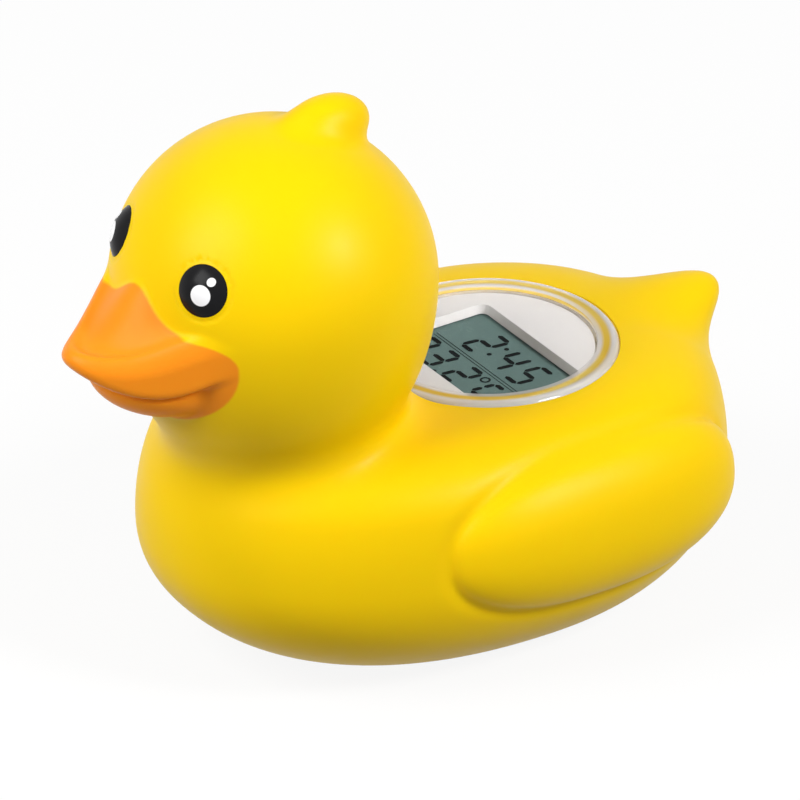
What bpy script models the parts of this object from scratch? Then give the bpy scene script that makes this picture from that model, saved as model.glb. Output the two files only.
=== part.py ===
"""Floating bath thermometer in the form of a plain duck. Lengths are in metres.

The duck looks along -Y, +Z is up, and the origin is at the middle of its flat base. One hollow
soft moulding makes head, beak, body, wings, tail and tuft. A sealed case stands in it, from the
round window in its back down to the battery door and the steel sensor tip in its base.
"""

import math

import bmesh
import bpy
import numpy as np
from mathutils import Euler, Matrix, Vector

# Room between pieces that touch, and how far a cutter runs past a face
GAP = 0.0003
PAST = 0.002

# Moulded skin, and the mesh that its form is drawn on
WALL = 0.0022
SKIN_CELL = 0.0011
INNER_CELL = 0.003
SKIN_KEPT = 0.075
INNER_KEPT = 0.18
FORM_MARGIN = 0.002

# Body: half sizes to the sides, to the front and the rear, above and below its centre
BODY_CENTRE = (0.0, 0.0106, 0.0194)
BODY_HALF_WIDTH = 0.0315
BODY_FRONT = 0.0482
BODY_REAR = 0.0387
BODY_ABOVE = 0.0328
BODY_BELOW = 0.0225
BODY_POWER = 2.2
BACK_HEIGHT = 0.0371
BACK_BLEND = 0.0077
BASE_BLEND = 0.0020
BASE_TRIM = 0.0003

# Head: a sphere above its centre, drawn down into the neck below it
HEAD_CENTRE = (0.0, -0.0200, 0.0585)
HEAD_RADIUS = 0.0230
NECK_DEPTH = 0.0300
NECK_BLEND = 0.0060

# Tail and tuft: centre, half sizes, tilt up to the rear, and blend into what carries them
TAIL_CENTRE = (0.0, 0.0449, 0.0326)
TAIL_HALF = (0.0052, 0.0092, 0.0036)
TAIL_TURN = (20, 0, 0)
TAIL_BLEND = 0.0067
TUFT_CENTRE = (0.0, -0.0115, 0.0797)
TUFT_HALF = (0.0042, 0.0070, 0.0046)
TUFT_TURN = (3, 0, 0)
TUFT_BLEND = 0.0025

# Wings: raised lobes, mirrored
WING_CENTRE = (0.0229, 0.0144, 0.0222)
WING_HALF = (0.0118, 0.0262, 0.0126)
WING_TURN = (-0.7, -6.3, 2.8)
WING_BLEND = 0.0005
WING_POWER = 2.3

# Beak, from the middle of the head
BILL_TIP = 0.0345
BILL_TIP_RADIUS = 0.0038
BILL_FLARE = 0.54
BILL_TOP = -0.0034
BILL_ROOT_RISE = 0.0043
BILL_RIDGE_RISE = 0.0049
BILL_RIDGE_WIDTH = 0.0049
BILL_FALL = 0.0042
BILL_FALL_POWER = 1.4
BILL_RIM_RISE = 0.0007
BILL_RIM_INSET = 0.0014
BILL_RIM_WIDTH = 0.0013
BILL_CURL = 23.0
BILL_CURL_START = 0.0270
BILL_ROUND = 0.0020
BILL_ROOT_BLEND = 0.0010
MOUTH_HEIGHT = -0.0081
MOUTH_SMILE = 50.0
MOUTH_LOWEST = 0.0255
CHIN_CENTRE = (0.0, -0.0163, -0.0080)
CHIN_HALF = (0.0116, 0.0129, 0.0065)
CHIN_BLEND = 0.0010

# Orange paint, as an outline seen from the front
PAINT_HALF_WIDTH = 0.0161
PAINT_TOP = 0.0012
PAINT_MIDDLE = -0.0025
PAINT_BOTTOM = -0.0146
PAINT_PEAK = 0.0045
PAINT_PEAK_WIDTH = 0.0049
PAINT_SHOULDER_POWER = 6

# Eyes
EYE_PLACE = (0.0104, -0.0187, 0.0083)
EYE_RADIUS = 0.0037
EYE_HEIGHT = 0.0013
EYE_SINK = 0.0003
EYE_PEG_RADIUS = 0.0014
EYE_PEG_LENGTH = 0.0042
SOCKET_DEPTH = 0.0008

# Window in the back, and the stack of pieces under it
WINDOW_Y = 0.0156
COVER_TOP = 0.0375
COVER_RADIUS = 0.01847
COVER_RIM = 0.0031
COVER_HEIGHT = 0.0028
COVER_WEB = 0.0013
COVER_ROUND = 0.0010
PLATE_THICKNESS = 0.0012
PANEL_THICKNESS = 0.0022
SEAL_THICKNESS = 0.0008
SEAL_WIDTH = 0.00095
SEAL_INSET = 0.0001

# Sight opening from the plate's edge, open to the right, and how far the display runs past it
SIGHT_FROM_LEFT = 0.0052
SIGHT_FROM_FRONT = 0.0054
SIGHT_FROM_REAR = 0.0090
SIGHT_CHAMFER = 0.0007
LAP_LEFT = 0.0010
LAP_RIGHT = 0.0004
LAP_FRONT = 0.0002
LAP_REAR = 0.0008

# Frame under the display: feet on the board, lips beside the glass, room for the contact strip
FRAME_THICKNESS = 0.0016
FRAME_STANDOFF = 0.0011
FRAME_BORDER = 0.0028
FRAME_FOOT_INSET = 0.0041
FRAME_FOOT_RADIUS = 0.0010
FRAME_FOOT_ANGLES = (5, 90, 152, 278)
FRAME_LIP = 0.0012
FRAME_LIP_MARGIN = 0.0039
BOARD_THICKNESS = 0.0012
ZEBRA_WIDTH = 0.0020
ZEBRA_MARGIN = 0.0015

# Case: cup under the window, collar under the skin's lip
CUP_WALL = 0.0011
CUP_FLOOR = 0.0220
CUP_FLOOR_THICKNESS = 0.0014
COLLAR_DROP = 0.0002
COLLAR_WIDTH = 0.00165
COLLAR_HEIGHT = 0.0024
BOSS_INSET = 0.0025
BOSS_RADIUS = 0.0022
BOARD_SCREW_ANGLES = (25, 135, 235)
BOARD_SCREW_HEAD = 0.0015
BOARD_SCREW_HEAD_HEIGHT = 0.0008
BOARD_SCREW_RADIUS = 0.00075
BOARD_SCREW_LENGTH = 0.0052

# Battery barrel, built out from the cell and standing on the base
CELL_RADIUS = 0.0080
CELL_THICKNESS = 0.0032
CELL_ROUND = 0.0003
CELL_STEP = 0.0008
CELL_ROOM = 0.0004
BARREL_WALL = 0.0036
BARREL_UPPER_WALL = 0.0015
BARREL_FOOT = 0.0009
FLANGE_WIDTH = 0.0011
FLANGE_THICKNESS = 0.0014
DOOR_LIP = 0.0009
DOOR_THICKNESS = 0.0020
SPIGOT_INSET = 0.0006
SPIGOT_HEIGHT = 0.0015
DOOR_SEAL_WIDTH = 0.0006
DOOR_SEAL_THICKNESS = 0.0009
DOOR_SCREW_INSET = 0.0016
DOOR_SCREW_RADIUS = 0.0005
DOOR_SCREW_HEAD = 0.0009
DOOR_SCREW_HEAD_HEIGHT = 0.0007
DOOR_SCREW_LENGTH = 0.0050
CONTACT_THICKNESS = 0.0003
CONTACT_RADIUS = 0.0042
CONTACT_WIDTH = 0.0018
CONTACT_TAB = 0.0008
PARTITION_THICKNESS = 0.0012

# Sensor barrel, in front of the battery barrel
SENSOR_WEB = -0.0004
SENSOR_BARREL_RADIUS = 0.0042
SENSOR_BARREL_FOOT = 0.0007
SENSOR_CHIMNEY = 0.0005
SENSOR_BORE = 0.0030
SENSOR_LEDGE = 0.0033
SENSOR_TIP_RADIUS = 0.0019
SENSOR_TIP_WALL = 0.0004
SENSOR_TIP_FOOT = 0.0005
SENSOR_TIP_BEVEL = 0.0004
SENSOR_FLANGE_RADIUS = 0.0027
SENSOR_FLANGE_THICKNESS = 0.0006
SENSOR_SEAL_THICKNESS = 0.0008
BEAD_RADIUS = 0.0009
BEAD_LENGTH = 0.0026
BEAD_ROUND = 0.0005

# Leads: they end a solder's width from what they join
LEAD_RADIUS = 0.00035
LEAD_SPACING = 0.0012
LEAD_SPREAD = 0.0030
LEAD_INSET = 0.0035
LEAD_STRAIGHT = 0.0022
WIRE_RADIUS = 0.00045
WIRE_STRAIGHT = 0.0030
POSITIVE_PAD = (0.0060, -0.0030)
NEGATIVE_PAD = (-0.0045, 0.0050)
SOLDER = 0.0001

# Parts under the board, from the window's axis
CHIP_RADIUS = 0.0045
CHIP_HEIGHT = 0.0013
CHIP_PLACE = (0.0030, 0.0046)
CRYSTAL_RADIUS = 0.0010
CRYSTAL_LENGTH = 0.0060
CRYSTAL_PLACE = (-0.0080, 0.0046)

# Segments round a circle
LARGE_STEPS = 40
CASE_STEPS = 32
EYE_STEPS = 20
HOLE_STEPS = 12
SMALL_STEPS = 14

# The case has many faces that meet edge to edge, which the other solver leaves open
CASE_SOLVER = "MANIFOLD"

# Levels worked out from the stack, top to bottom
COVER_BOTTOM = COVER_TOP - COVER_HEIGHT
WEB_BOTTOM = COVER_TOP - COVER_WEB
PLATE_TOP = WEB_BOTTOM - GAP
PLATE_BOTTOM = PLATE_TOP - PLATE_THICKNESS
PANEL_TOP = PLATE_BOTTOM - GAP
PANEL_BOTTOM = PANEL_TOP - PANEL_THICKNESS
FRAME_TOP = PANEL_BOTTOM - GAP
FRAME_BOTTOM = FRAME_TOP - FRAME_THICKNESS
BOARD_TOP = FRAME_BOTTOM - FRAME_STANDOFF - GAP
BOARD_BOTTOM = BOARD_TOP - BOARD_THICKNESS
SEAL_TOP = COVER_BOTTOM - GAP
SEAL_BOTTOM = SEAL_TOP - SEAL_THICKNESS
CUP_TOP = SEAL_BOTTOM - GAP
COLLAR_TOP = SEAL_TOP - COLLAR_DROP
COLLAR_BOTTOM = COLLAR_TOP - COLLAR_HEIGHT

# Sizes across the window's axis
CUP_RADIUS = COVER_RADIUS
CUP_BORE = CUP_RADIUS - CUP_WALL
COLLAR_BORE = COVER_RADIUS + GAP
COLLAR_RADIUS = COLLAR_BORE + COLLAR_WIDTH
BOARD_RADIUS = CUP_BORE - GAP
BOSS_CIRCLE = BOARD_RADIUS - BOSS_INSET
PLATE_RADIUS = COVER_RADIUS - COVER_RIM - GAP
SIGHT_LEFT = SIGHT_FROM_LEFT - PLATE_RADIUS
SIGHT_RIGHT = PLATE_RADIUS + PAST
SIGHT_FRONT = SIGHT_FROM_FRONT - PLATE_RADIUS
SIGHT_REAR = PLATE_RADIUS - SIGHT_FROM_REAR
PANEL_LEFT = SIGHT_LEFT - LAP_LEFT
PANEL_RIGHT = PLATE_RADIUS + LAP_RIGHT
PANEL_FRONT = SIGHT_FRONT - LAP_FRONT
PANEL_REAR = SIGHT_REAR + LAP_REAR

# Sizes across the battery barrel's axis, which is the window's
POCKET_RADIUS = CELL_RADIUS + CELL_ROOM
BARREL_RADIUS = POCKET_RADIUS + BARREL_WALL
BARREL_BORE = BARREL_RADIUS - BARREL_UPPER_WALL
FLANGE_RADIUS = BARREL_RADIUS + FLANGE_WIDTH
DOOR_RADIUS = BARREL_RADIUS - DOOR_LIP
SPIGOT_RADIUS = POCKET_RADIUS - SPIGOT_INSET
DOOR_SCREW_PLACE = POCKET_RADIUS + DOOR_SCREW_INSET
SENSOR_Y = WINDOW_Y - BARREL_RADIUS - SENSOR_BARREL_RADIUS - SENSOR_WEB

# Levels of the battery barrel, bottom to top
DOOR_BOTTOM = BARREL_FOOT
DOOR_TOP = DOOR_BOTTOM + DOOR_THICKNESS
RECESS_TOP = DOOR_TOP + GAP
SPIGOT_TOP = DOOR_TOP + SPIGOT_HEIGHT
NEGATIVE_BOTTOM = SPIGOT_TOP + GAP
CELL_BOTTOM = NEGATIVE_BOTTOM + CONTACT_THICKNESS + GAP
CELL_TOP = CELL_BOTTOM + CELL_THICKNESS
POSITIVE_BOTTOM = CELL_TOP + GAP
POCKET_TOP = POSITIVE_BOTTOM + CONTACT_THICKNESS + GAP
PARTITION_TOP = POCKET_TOP + PARTITION_THICKNESS
FLANGE_BOTTOM = WALL + GAP

# Room round the whole form, for the mesh that it is drawn on
FORM_LOW = (
    -WING_CENTRE[0] - WING_HALF[0] - FORM_MARGIN,
    HEAD_CENTRE[1] - BILL_TIP - FORM_MARGIN,
    -BASE_TRIM - FORM_MARGIN,
)
FORM_HIGH = (
    WING_CENTRE[0] + WING_HALF[0] + FORM_MARGIN,
    TAIL_CENTRE[1] + TAIL_HALF[1] + FORM_MARGIN,
    TUFT_CENTRE[2] + TUFT_HALF[2] + FORM_MARGIN,
)


def clear_scene():
    for obj in list(bpy.data.objects):
        bpy.data.objects.remove(obj, do_unlink=True)


def material(name, colour, roughness, metallic=0.0, transmission=0.0):
    made = bpy.data.materials.new(name)
    made.use_nodes = True
    shader = made.node_tree.nodes["Principled BSDF"]
    shader.inputs["Base Color"].default_value = (*colour, 1.0)
    shader.inputs["Roughness"].default_value = roughness
    shader.inputs["Metallic"].default_value = metallic
    shader.inputs["Transmission Weight"].default_value = transmission
    return made


def add_object(name, mesh, finish, smooth=True):
    obj = bpy.data.objects.new(name, mesh)
    bpy.context.scene.collection.objects.link(obj)
    mesh.materials.append(finish)
    if smooth:
        mesh.shade_smooth()
        mesh.set_sharp_from_angle(angle=math.radians(35))
    return obj


def as_cutter(obj):
    obj.hide_render = True
    obj.display_type = "WIRE"
    return obj


def combine(obj, tools, operation, solver):
    """Cuts the tools from the object, or joins them to it."""
    for tool in tools:
        as_cutter(tool)
        modifier = obj.modifiers.new(tool.name, "BOOLEAN")
        modifier.operation = operation
        modifier.solver = solver
        modifier.object = tool
    return obj


def cut(obj, *tools, solver="EXACT"):
    return combine(obj, tools, "DIFFERENCE", solver)


def join(obj, *tools, solver="EXACT"):
    return combine(obj, tools, "UNION", solver)


def turned(name, profile, finish, centre=(0.0, 0.0), steps=LARGE_STEPS):
    """Solid turned about a vertical axis from (radius, height) points, up the outer side.

    A profile that starts and ends on the axis makes a solid disc. Any other is closed to a ring.
    """
    mesh = bpy.data.meshes.new(name)
    shape = bmesh.new()
    rings = []
    for radius, height in profile:
        if radius == 0.0:
            rings.append([shape.verts.new((centre[0], centre[1], height))] * steps)
            continue
        ring = []
        for step in range(steps):
            angle = 2 * math.pi * step / steps
            x = centre[0] + radius * math.cos(angle)
            y = centre[1] + radius * math.sin(angle)
            ring.append(shape.verts.new((x, y, height)))
        rings.append(ring)
    pairs = list(zip(rings, rings[1:]))
    if profile[0][0] > 0.0:
        pairs.append((rings[-1], rings[0]))
    for low, high in pairs:
        for step in range(steps):
            after = (step + 1) % steps
            corners = [low[step], low[after], high[after], high[step]]
            shape.faces.new(list(dict.fromkeys(corners)))
    shape.to_mesh(mesh)
    shape.free()
    return add_object(name, mesh, finish)


def disc(name, radius, bottom, top, finish, centre=(0.0, 0.0), steps=LARGE_STEPS):
    profile = [(0.0, bottom), (radius, bottom), (radius, top), (0.0, top)]
    return turned(name, profile, finish, centre, steps)


def ring(name, inner, outer, bottom, top, finish, centre=(0.0, 0.0), steps=LARGE_STEPS):
    profile = [(inner, bottom), (outer, bottom), (outer, top), (inner, top)]
    return turned(name, profile, finish, centre, steps)


def arc(centre, radius, start, end, points):
    """(radius, height) points along an arc, angles in degrees."""
    made = []
    for number in range(points):
        angle = math.radians(start + (end - start) * number / (points - 1))
        made.append((centre[0] + radius * math.cos(angle), centre[1] + radius * math.sin(angle)))
    return made


def block(name, low, high, finish):
    mesh = bpy.data.meshes.new(name)
    shape = bmesh.new()
    bmesh.ops.create_cube(shape, size=1.0)
    size = Vector(high) - Vector(low)
    middle = (Vector(high) + Vector(low)) / 2
    place = Matrix.Translation(middle) @ Matrix.Diagonal((*size, 1.0))
    bmesh.ops.transform(shape, matrix=place, verts=shape.verts)
    shape.to_mesh(mesh)
    shape.free()
    return add_object(name, mesh, finish, smooth=False)


def wire(name, route, radius, finish):
    """A round lead along a smooth curve through the route's points."""
    curve = bpy.data.curves.new(name, "CURVE")
    curve.dimensions = "3D"
    curve.bevel_depth = radius
    curve.bevel_resolution = 1
    curve.use_fill_caps = True
    spline = curve.splines.new("POLY")
    points = smooth_route(route, 4)
    spline.points.add(len(points) - 1)
    for point, place in zip(spline.points, points):
        point.co = (*place, 1.0)
    curve.materials.append(finish)
    obj = bpy.data.objects.new(name, curve)
    bpy.context.scene.collection.objects.link(obj)
    return obj


def smooth_route(route, parts):
    """Points on a Catmull-Rom curve through the route's points."""
    points = [np.array(place, float) for place in route]
    points = [2 * points[0] - points[1]] + points + [2 * points[-1] - points[-2]]
    made = []
    for first, a, b, last in zip(points, points[1:], points[2:], points[3:]):
        for number in range(parts):
            t = number / parts
            made.append(
                0.5 * (2 * a + (b - first) * t + (2 * first - 5 * a + 4 * b - last) * t**2
                       + (3 * a - first - 3 * b + last) * t**3)
            )
    made.append(points[-2])
    return [tuple(place) for place in made]


def smooth_union(a, b, blend):
    share = np.clip(0.5 + 0.5 * (b - a) / blend, 0.0, 1.0)
    return b + (a - b) * share - blend * share * (1.0 - share)


def smooth_overlap(a, b, blend):
    return -smooth_union(-a, -b, blend)


def seen_from(points, centre, turn):
    """The points in the frame of a form at the centre, turned about X, Y and Z in degrees."""
    matrix = Euler([math.radians(angle) for angle in turn]).to_matrix()
    return (points - np.array(centre)) @ np.array(matrix)


def lobe(offset, half, power=2.0):
    """About the distance to an ellipsoid, from points given about its centre."""
    share = np.abs(offset) / half
    reach = np.power(np.power(share, power).sum(-1), 1.0 / power)
    slope = np.sqrt(((offset / half**2) ** 2).sum(-1))
    return reach * (reach - 1.0) / np.maximum(slope, 1e-6)


def two_sided(value, below, above):
    return np.where(value < 0.0, below, above)


def body_form(points):
    offset = points - np.array(BODY_CENTRE)
    half = np.stack(
        [
            np.full(offset.shape[:-1], BODY_HALF_WIDTH),
            two_sided(offset[..., 1], BODY_FRONT, BODY_REAR),
            two_sided(offset[..., 2], BODY_BELOW, BODY_ABOVE),
        ],
        -1,
    )
    form = lobe(offset, half, BODY_POWER)
    form = smooth_overlap(form, points[..., 2] - BACK_HEIGHT, BACK_BLEND)
    return smooth_overlap(form, -points[..., 2] - BASE_TRIM, BASE_BLEND)


def head_form(points):
    offset = points - np.array(HEAD_CENTRE)
    sides = np.full(offset.shape[:-1], HEAD_RADIUS)
    half = np.stack([sides, sides, two_sided(offset[..., 2], NECK_DEPTH, HEAD_RADIUS)], -1)
    return lobe(offset, half)


def wing_form(points):
    mirrored = np.stack([np.abs(points[..., 0]), points[..., 1], points[..., 2]], -1)
    return lobe(seen_from(mirrored, WING_CENTRE, WING_TURN), np.array(WING_HALF), WING_POWER)


def mouth_height(y):
    return MOUTH_HEIGHT + MOUTH_SMILE * (y + MOUTH_LOWEST) ** 2


def upper_bill(offset):
    x = np.abs(offset[..., 0])
    y = offset[..., 1]
    z = offset[..., 2]
    behind = np.maximum(y + BILL_TIP, 0.0)
    level = x**2 - 2 * BILL_TIP_RADIUS * (y + BILL_TIP) - (BILL_FLARE * behind) ** 2
    outline = level / (2 * np.sqrt(x**2 + (BILL_TIP_RADIUS + BILL_FLARE**2 * behind) ** 2))
    root = np.sqrt(np.maximum(HEAD_RADIUS**2 - x**2 - z**2, 0.0))
    rise = BILL_ROOT_RISE + BILL_RIDGE_RISE * np.exp(-((x / BILL_RIDGE_WIDTH) ** 2))
    rise = rise * np.exp(-((np.maximum(-y - root, 0.0) / BILL_FALL) ** BILL_FALL_POWER))
    rim = BILL_RIM_RISE * np.exp(-(((outline + BILL_RIM_INSET) / BILL_RIM_WIDTH) ** 2))
    curl = BILL_CURL * np.maximum(-y - BILL_CURL_START, 0.0) ** 2
    top = BILL_TOP + rise + rim + curl
    form = smooth_overlap(outline, z - top, BILL_ROUND)
    form = smooth_overlap(form, mouth_height(y) - z, BILL_ROUND)
    return np.maximum(form, y)


def lower_bill(offset):
    form = lobe(offset - np.array(CHIN_CENTRE), np.array(CHIN_HALF))
    return smooth_overlap(form, offset[..., 2] - mouth_height(offset[..., 1]) - CHIN_BLEND, CHIN_BLEND)


def duck_form(points):
    """About the distance to the outside of the moulding, below 0 inside it."""
    head_offset = points - np.array(HEAD_CENTRE)
    form = smooth_union(body_form(points), head_form(points), NECK_BLEND)
    tail = lobe(seen_from(points, TAIL_CENTRE, TAIL_TURN), np.array(TAIL_HALF))
    form = smooth_union(form, tail, TAIL_BLEND)
    tuft = lobe(seen_from(points, TUFT_CENTRE, TUFT_TURN), np.array(TUFT_HALF))
    form = smooth_union(form, tuft, TUFT_BLEND)
    form = smooth_union(form, wing_form(points), WING_BLEND)
    form = smooth_union(form, lower_bill(head_offset), BILL_ROOT_BLEND)
    return smooth_union(form, upper_bill(head_offset), BILL_ROOT_BLEND)


def hollow_form(points):
    """About the distance to the inside of the skin: no wing, beak or tuft shows in it."""
    form = smooth_union(body_form(points), head_form(points), NECK_BLEND)
    return form + WALL


def onto_form(form, points, rounds):
    """Moves the points onto the surface where the form is 0."""
    reach = 1e-5
    for _ in range(rounds):
        value = form(points)
        slope = np.empty_like(points)
        for axis in range(3):
            step = np.zeros(3)
            step[axis] = reach
            slope[:, axis] = (form(points + step) - form(points - step)) / (2 * reach)
        length = np.maximum((slope**2).sum(-1), 0.05)
        points = points - (value / length)[:, None] * slope
    return points


def form_faces(form, low, high, cell):
    """Points and four-sided faces round the space where the form is below 0."""
    low = np.array(low)
    counts = np.ceil((np.array(high) - low) / cell).astype(int) + 1
    axes = [low[axis] + cell * np.arange(counts[axis]) for axis in range(3)]
    inside = form(np.stack(np.meshgrid(*axes, indexing="ij"), -1)) < 0.0
    first = inside[:-1, :-1, :-1]
    mixed = np.zeros(first.shape, bool)
    for i in (0, 1):
        for j in (0, 1):
            for k in (0, 1):
                corner = inside[i : i + first.shape[0], j : j + first.shape[1], k : k + first.shape[2]]
                mixed |= corner != first
    number = np.full(mixed.shape, -1)
    number[mixed] = np.arange(mixed.sum())
    points = low + cell * (np.argwhere(mixed) + 0.5)
    faces = []
    for axis in range(3):
        lower = np.take(inside, np.arange(counts[axis] - 1), axis)
        upper = np.take(inside, np.arange(1, counts[axis]), axis)
        edges = np.argwhere(lower != upper)
        one, two = np.roll(np.arange(3), -axis)[1:]
        sides = np.eye(3, dtype=int)
        quads = []
        for back_one, back_two in ((0, 0), (1, 0), (1, 1), (0, 1)):
            cells = edges - back_one * sides[one] - back_two * sides[two]
            quads.append(number[tuple(cells.T)])
        quads = np.stack(quads, -1)
        outward = lower[tuple(edges.T)]
        quads[~outward] = quads[~outward][:, ::-1]
        faces.append(quads)
    return points, np.concatenate(faces)


def even_out(form, points, faces, rounds):
    """Spreads the points evenly over the surface."""
    for _ in range(rounds):
        total = np.zeros_like(points)
        count = np.zeros(len(points))
        for start, end in ((0, 1), (1, 2), (2, 3), (3, 0)):
            for a, b in ((start, end), (end, start)):
                np.add.at(total, faces[:, a], points[faces[:, b]])
                np.add.at(count, faces[:, a], 1.0)
        points = 0.5 * points + 0.5 * total / count[:, None]
        points = onto_form(form, points, 1)
    return points


def form_object(name, form, cell, kept, finish):
    points, faces = form_faces(form, FORM_LOW, FORM_HIGH, cell)
    points = onto_form(form, points, 3)
    points = even_out(form, points, faces, 3)
    points = onto_form(form, points, 2)
    mesh = bpy.data.meshes.new(name)
    mesh.from_pydata(points.tolist(), [], faces.tolist())
    obj = add_object(name, mesh, finish)
    fewer = obj.modifiers.new("fewer faces", "DECIMATE")
    fewer.ratio = kept
    return obj


def paint_beak(mesh, paint):
    """Gives the faces inside the paint's outline the second material."""
    mesh.materials.append(paint)
    for face in mesh.polygons:
        offset = face.center - Vector(HEAD_CENTRE)
        if offset.y < 0.0 and in_paint(offset.x, offset.z):
            face.material_index = 1


def in_paint(x, z):
    across = abs(x) / PAINT_HALF_WIDTH
    if z < PAINT_MIDDLE:
        return across**2 + ((z - PAINT_MIDDLE) / (PAINT_BOTTOM - PAINT_MIDDLE)) ** 2 < 1.0
    peak = PAINT_TOP + PAINT_PEAK * math.exp(-((x / PAINT_PEAK_WIDTH) ** 2))
    return across**PAINT_SHOULDER_POWER + ((z - PAINT_MIDDLE) / (peak - PAINT_MIDDLE)) ** 2 < 1.0


def eye_turn(side):
    """Place and turn of an eye: its own +Z points out of the head."""
    out = Vector((side * EYE_PLACE[0], EYE_PLACE[1], EYE_PLACE[2])).normalized()
    place = Vector(HEAD_CENTRE) + out * HEAD_RADIUS
    return Matrix.Translation(place) @ out.to_track_quat("Z", "Y").to_matrix().to_4x4()


def eye(name, side, finish):
    """Glossy dome on a peg that goes through the skin."""
    bulge = (EYE_RADIUS**2 + EYE_HEIGHT**2) / (2 * EYE_HEIGHT)
    half_angle = math.degrees(math.asin(EYE_RADIUS / bulge))
    dome = arc((0.0, EYE_HEIGHT - EYE_SINK - bulge), bulge, 90 - half_angle, 90, 6)
    floor = -SOCKET_DEPTH + GAP
    profile = [(0.0, -EYE_PEG_LENGTH), (EYE_PEG_RADIUS, -EYE_PEG_LENGTH), (EYE_PEG_RADIUS, floor)]
    profile += [(EYE_RADIUS, floor)] + dome[:-1] + [(0.0, EYE_HEIGHT - EYE_SINK)]
    obj = turned(name, profile, finish, steps=EYE_STEPS)
    obj.matrix_world = eye_turn(side)
    return obj


def socket_cutters(side, finish):
    """Shallow seat of an eye and the hole for its peg."""
    label = "left" if side > 0 else "right"
    seat = disc(f"{label} seat", EYE_RADIUS + GAP, -SOCKET_DEPTH, PAST, finish, steps=EYE_STEPS)
    hole = disc(f"{label} peg hole", EYE_PEG_RADIUS + GAP, -3 * WALL, 0.0, finish, steps=HOLE_STEPS)
    for tool in (seat, hole):
        tool.matrix_world = eye_turn(side)
    return [seat, hole]


def duck_shell(vinyl, paint):
    shell = form_object("duck_shell", duck_form, SKIN_CELL, SKIN_KEPT, vinyl)
    paint_beak(shell.data, paint)
    hollow = form_object("hollow", hollow_form, INNER_CELL, INNER_KEPT, vinyl)
    under = block("under the base", (*FORM_LOW[:2], FORM_LOW[2] - PAST), (*FORM_HIGH[:2], 0.0), vinyl)
    window = (0.0, WINDOW_Y)
    room = COLLAR_RADIUS + GAP
    seat = disc("seat room", room, CUP_FLOOR, COLLAR_TOP + GAP, vinyl, window)
    opening = disc("window opening", COVER_RADIUS + GAP, CUP_FLOOR, COVER_TOP + 2 * PAST, vinyl, window)
    foot = disc("foot opening", BARREL_RADIUS + GAP, -PAST, 2 * WALL, vinyl, window)
    sensor = disc("sensor opening", SENSOR_BARREL_RADIUS + GAP, -PAST, 2 * WALL, vinyl, (0.0, SENSOR_Y))
    tools = [hollow, under, seat, opening, foot, sensor]
    for side in (1, -1):
        tools += socket_cutters(side, vinyl)
    return cut(shell, *tools)


def clear_cover(clear):
    inner = COVER_RADIUS - COVER_RIM
    edge = arc((COVER_RADIUS - COVER_ROUND, COVER_TOP - COVER_ROUND), COVER_ROUND, 0, 90, 6)
    profile = [(0.0, WEB_BOTTOM), (inner, WEB_BOTTOM), (inner, COVER_BOTTOM), (COVER_RADIUS, COVER_BOTTOM)]
    profile += edge + [(0.0, COVER_TOP)]
    return turned("clear_cover", profile, clear, (0.0, WINDOW_Y))


def window_point(x, y, z):
    return (x, WINDOW_Y + y, z)


def round_window(radius, angle):
    """(x, y) on a circle about the window's axis, the angle in degrees from +X."""
    turn = math.radians(angle)
    return (radius * math.cos(turn), WINDOW_Y + radius * math.sin(turn))


def face_plate(white):
    """White plate with a sloping edge round the display, open where the display meets the rim."""
    plate = disc("face_plate", PLATE_RADIUS, PLATE_BOTTOM, PLATE_TOP, white, (0.0, WINDOW_Y))
    mesh = bpy.data.meshes.new("sight opening")
    shape = bmesh.new()
    corners = []
    below = [(PLATE_BOTTOM - PAST, 0.0), (PLATE_BOTTOM, 0.0)]
    above = [(PLATE_TOP, SIGHT_CHAMFER), (PLATE_TOP + PAST, SIGHT_CHAMFER)]
    for height, grow in below + above:
        low_x = SIGHT_LEFT - grow
        high_x = SIGHT_RIGHT + grow
        low_y = SIGHT_FRONT - grow
        high_y = SIGHT_REAR + grow
        level = []
        for x, y in ((low_x, low_y), (high_x, low_y), (high_x, high_y), (low_x, high_y)):
            level.append(shape.verts.new(window_point(x, y, height)))
        corners.append(level)
    for low, high in zip(corners, corners[1:]):
        for side in range(4):
            after = (side + 1) % 4
            shape.faces.new([low[side], low[after], high[after], high[side]])
    shape.faces.new(corners[0][::-1])
    shape.faces.new(corners[-1])
    shape.to_mesh(mesh)
    shape.free()
    return cut(plate, add_object("sight opening", mesh, white, smooth=False))


def lcd_panel(display):
    """Display glass, with the corner cut off that the case would not clear."""
    low = window_point(PANEL_LEFT, PANEL_FRONT, PANEL_BOTTOM)
    high = window_point(PANEL_RIGHT, PANEL_REAR, PANEL_TOP)
    panel = block("lcd_panel", low, high, display)
    below = PANEL_BOTTOM - PAST
    above = PANEL_TOP + PAST
    far = 2 * BOARD_RADIUS
    return cut(panel, ring("display corner", BOARD_RADIUS, far, below, above, display, (0.0, WINDOW_Y)))


def zebra_places():
    low = (PANEL_LEFT + ZEBRA_MARGIN, PANEL_FRONT + GAP)
    high = (PANEL_RIGHT - 2 * ZEBRA_MARGIN, PANEL_FRONT + GAP + ZEBRA_WIDTH)
    return low, high


def zebra_strip(rubber):
    low, high = zebra_places()
    return block(
        "zebra_strip",
        window_point(*low, BOARD_TOP + GAP),
        window_point(*high, PANEL_BOTTOM - GAP),
        rubber,
    )


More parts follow.
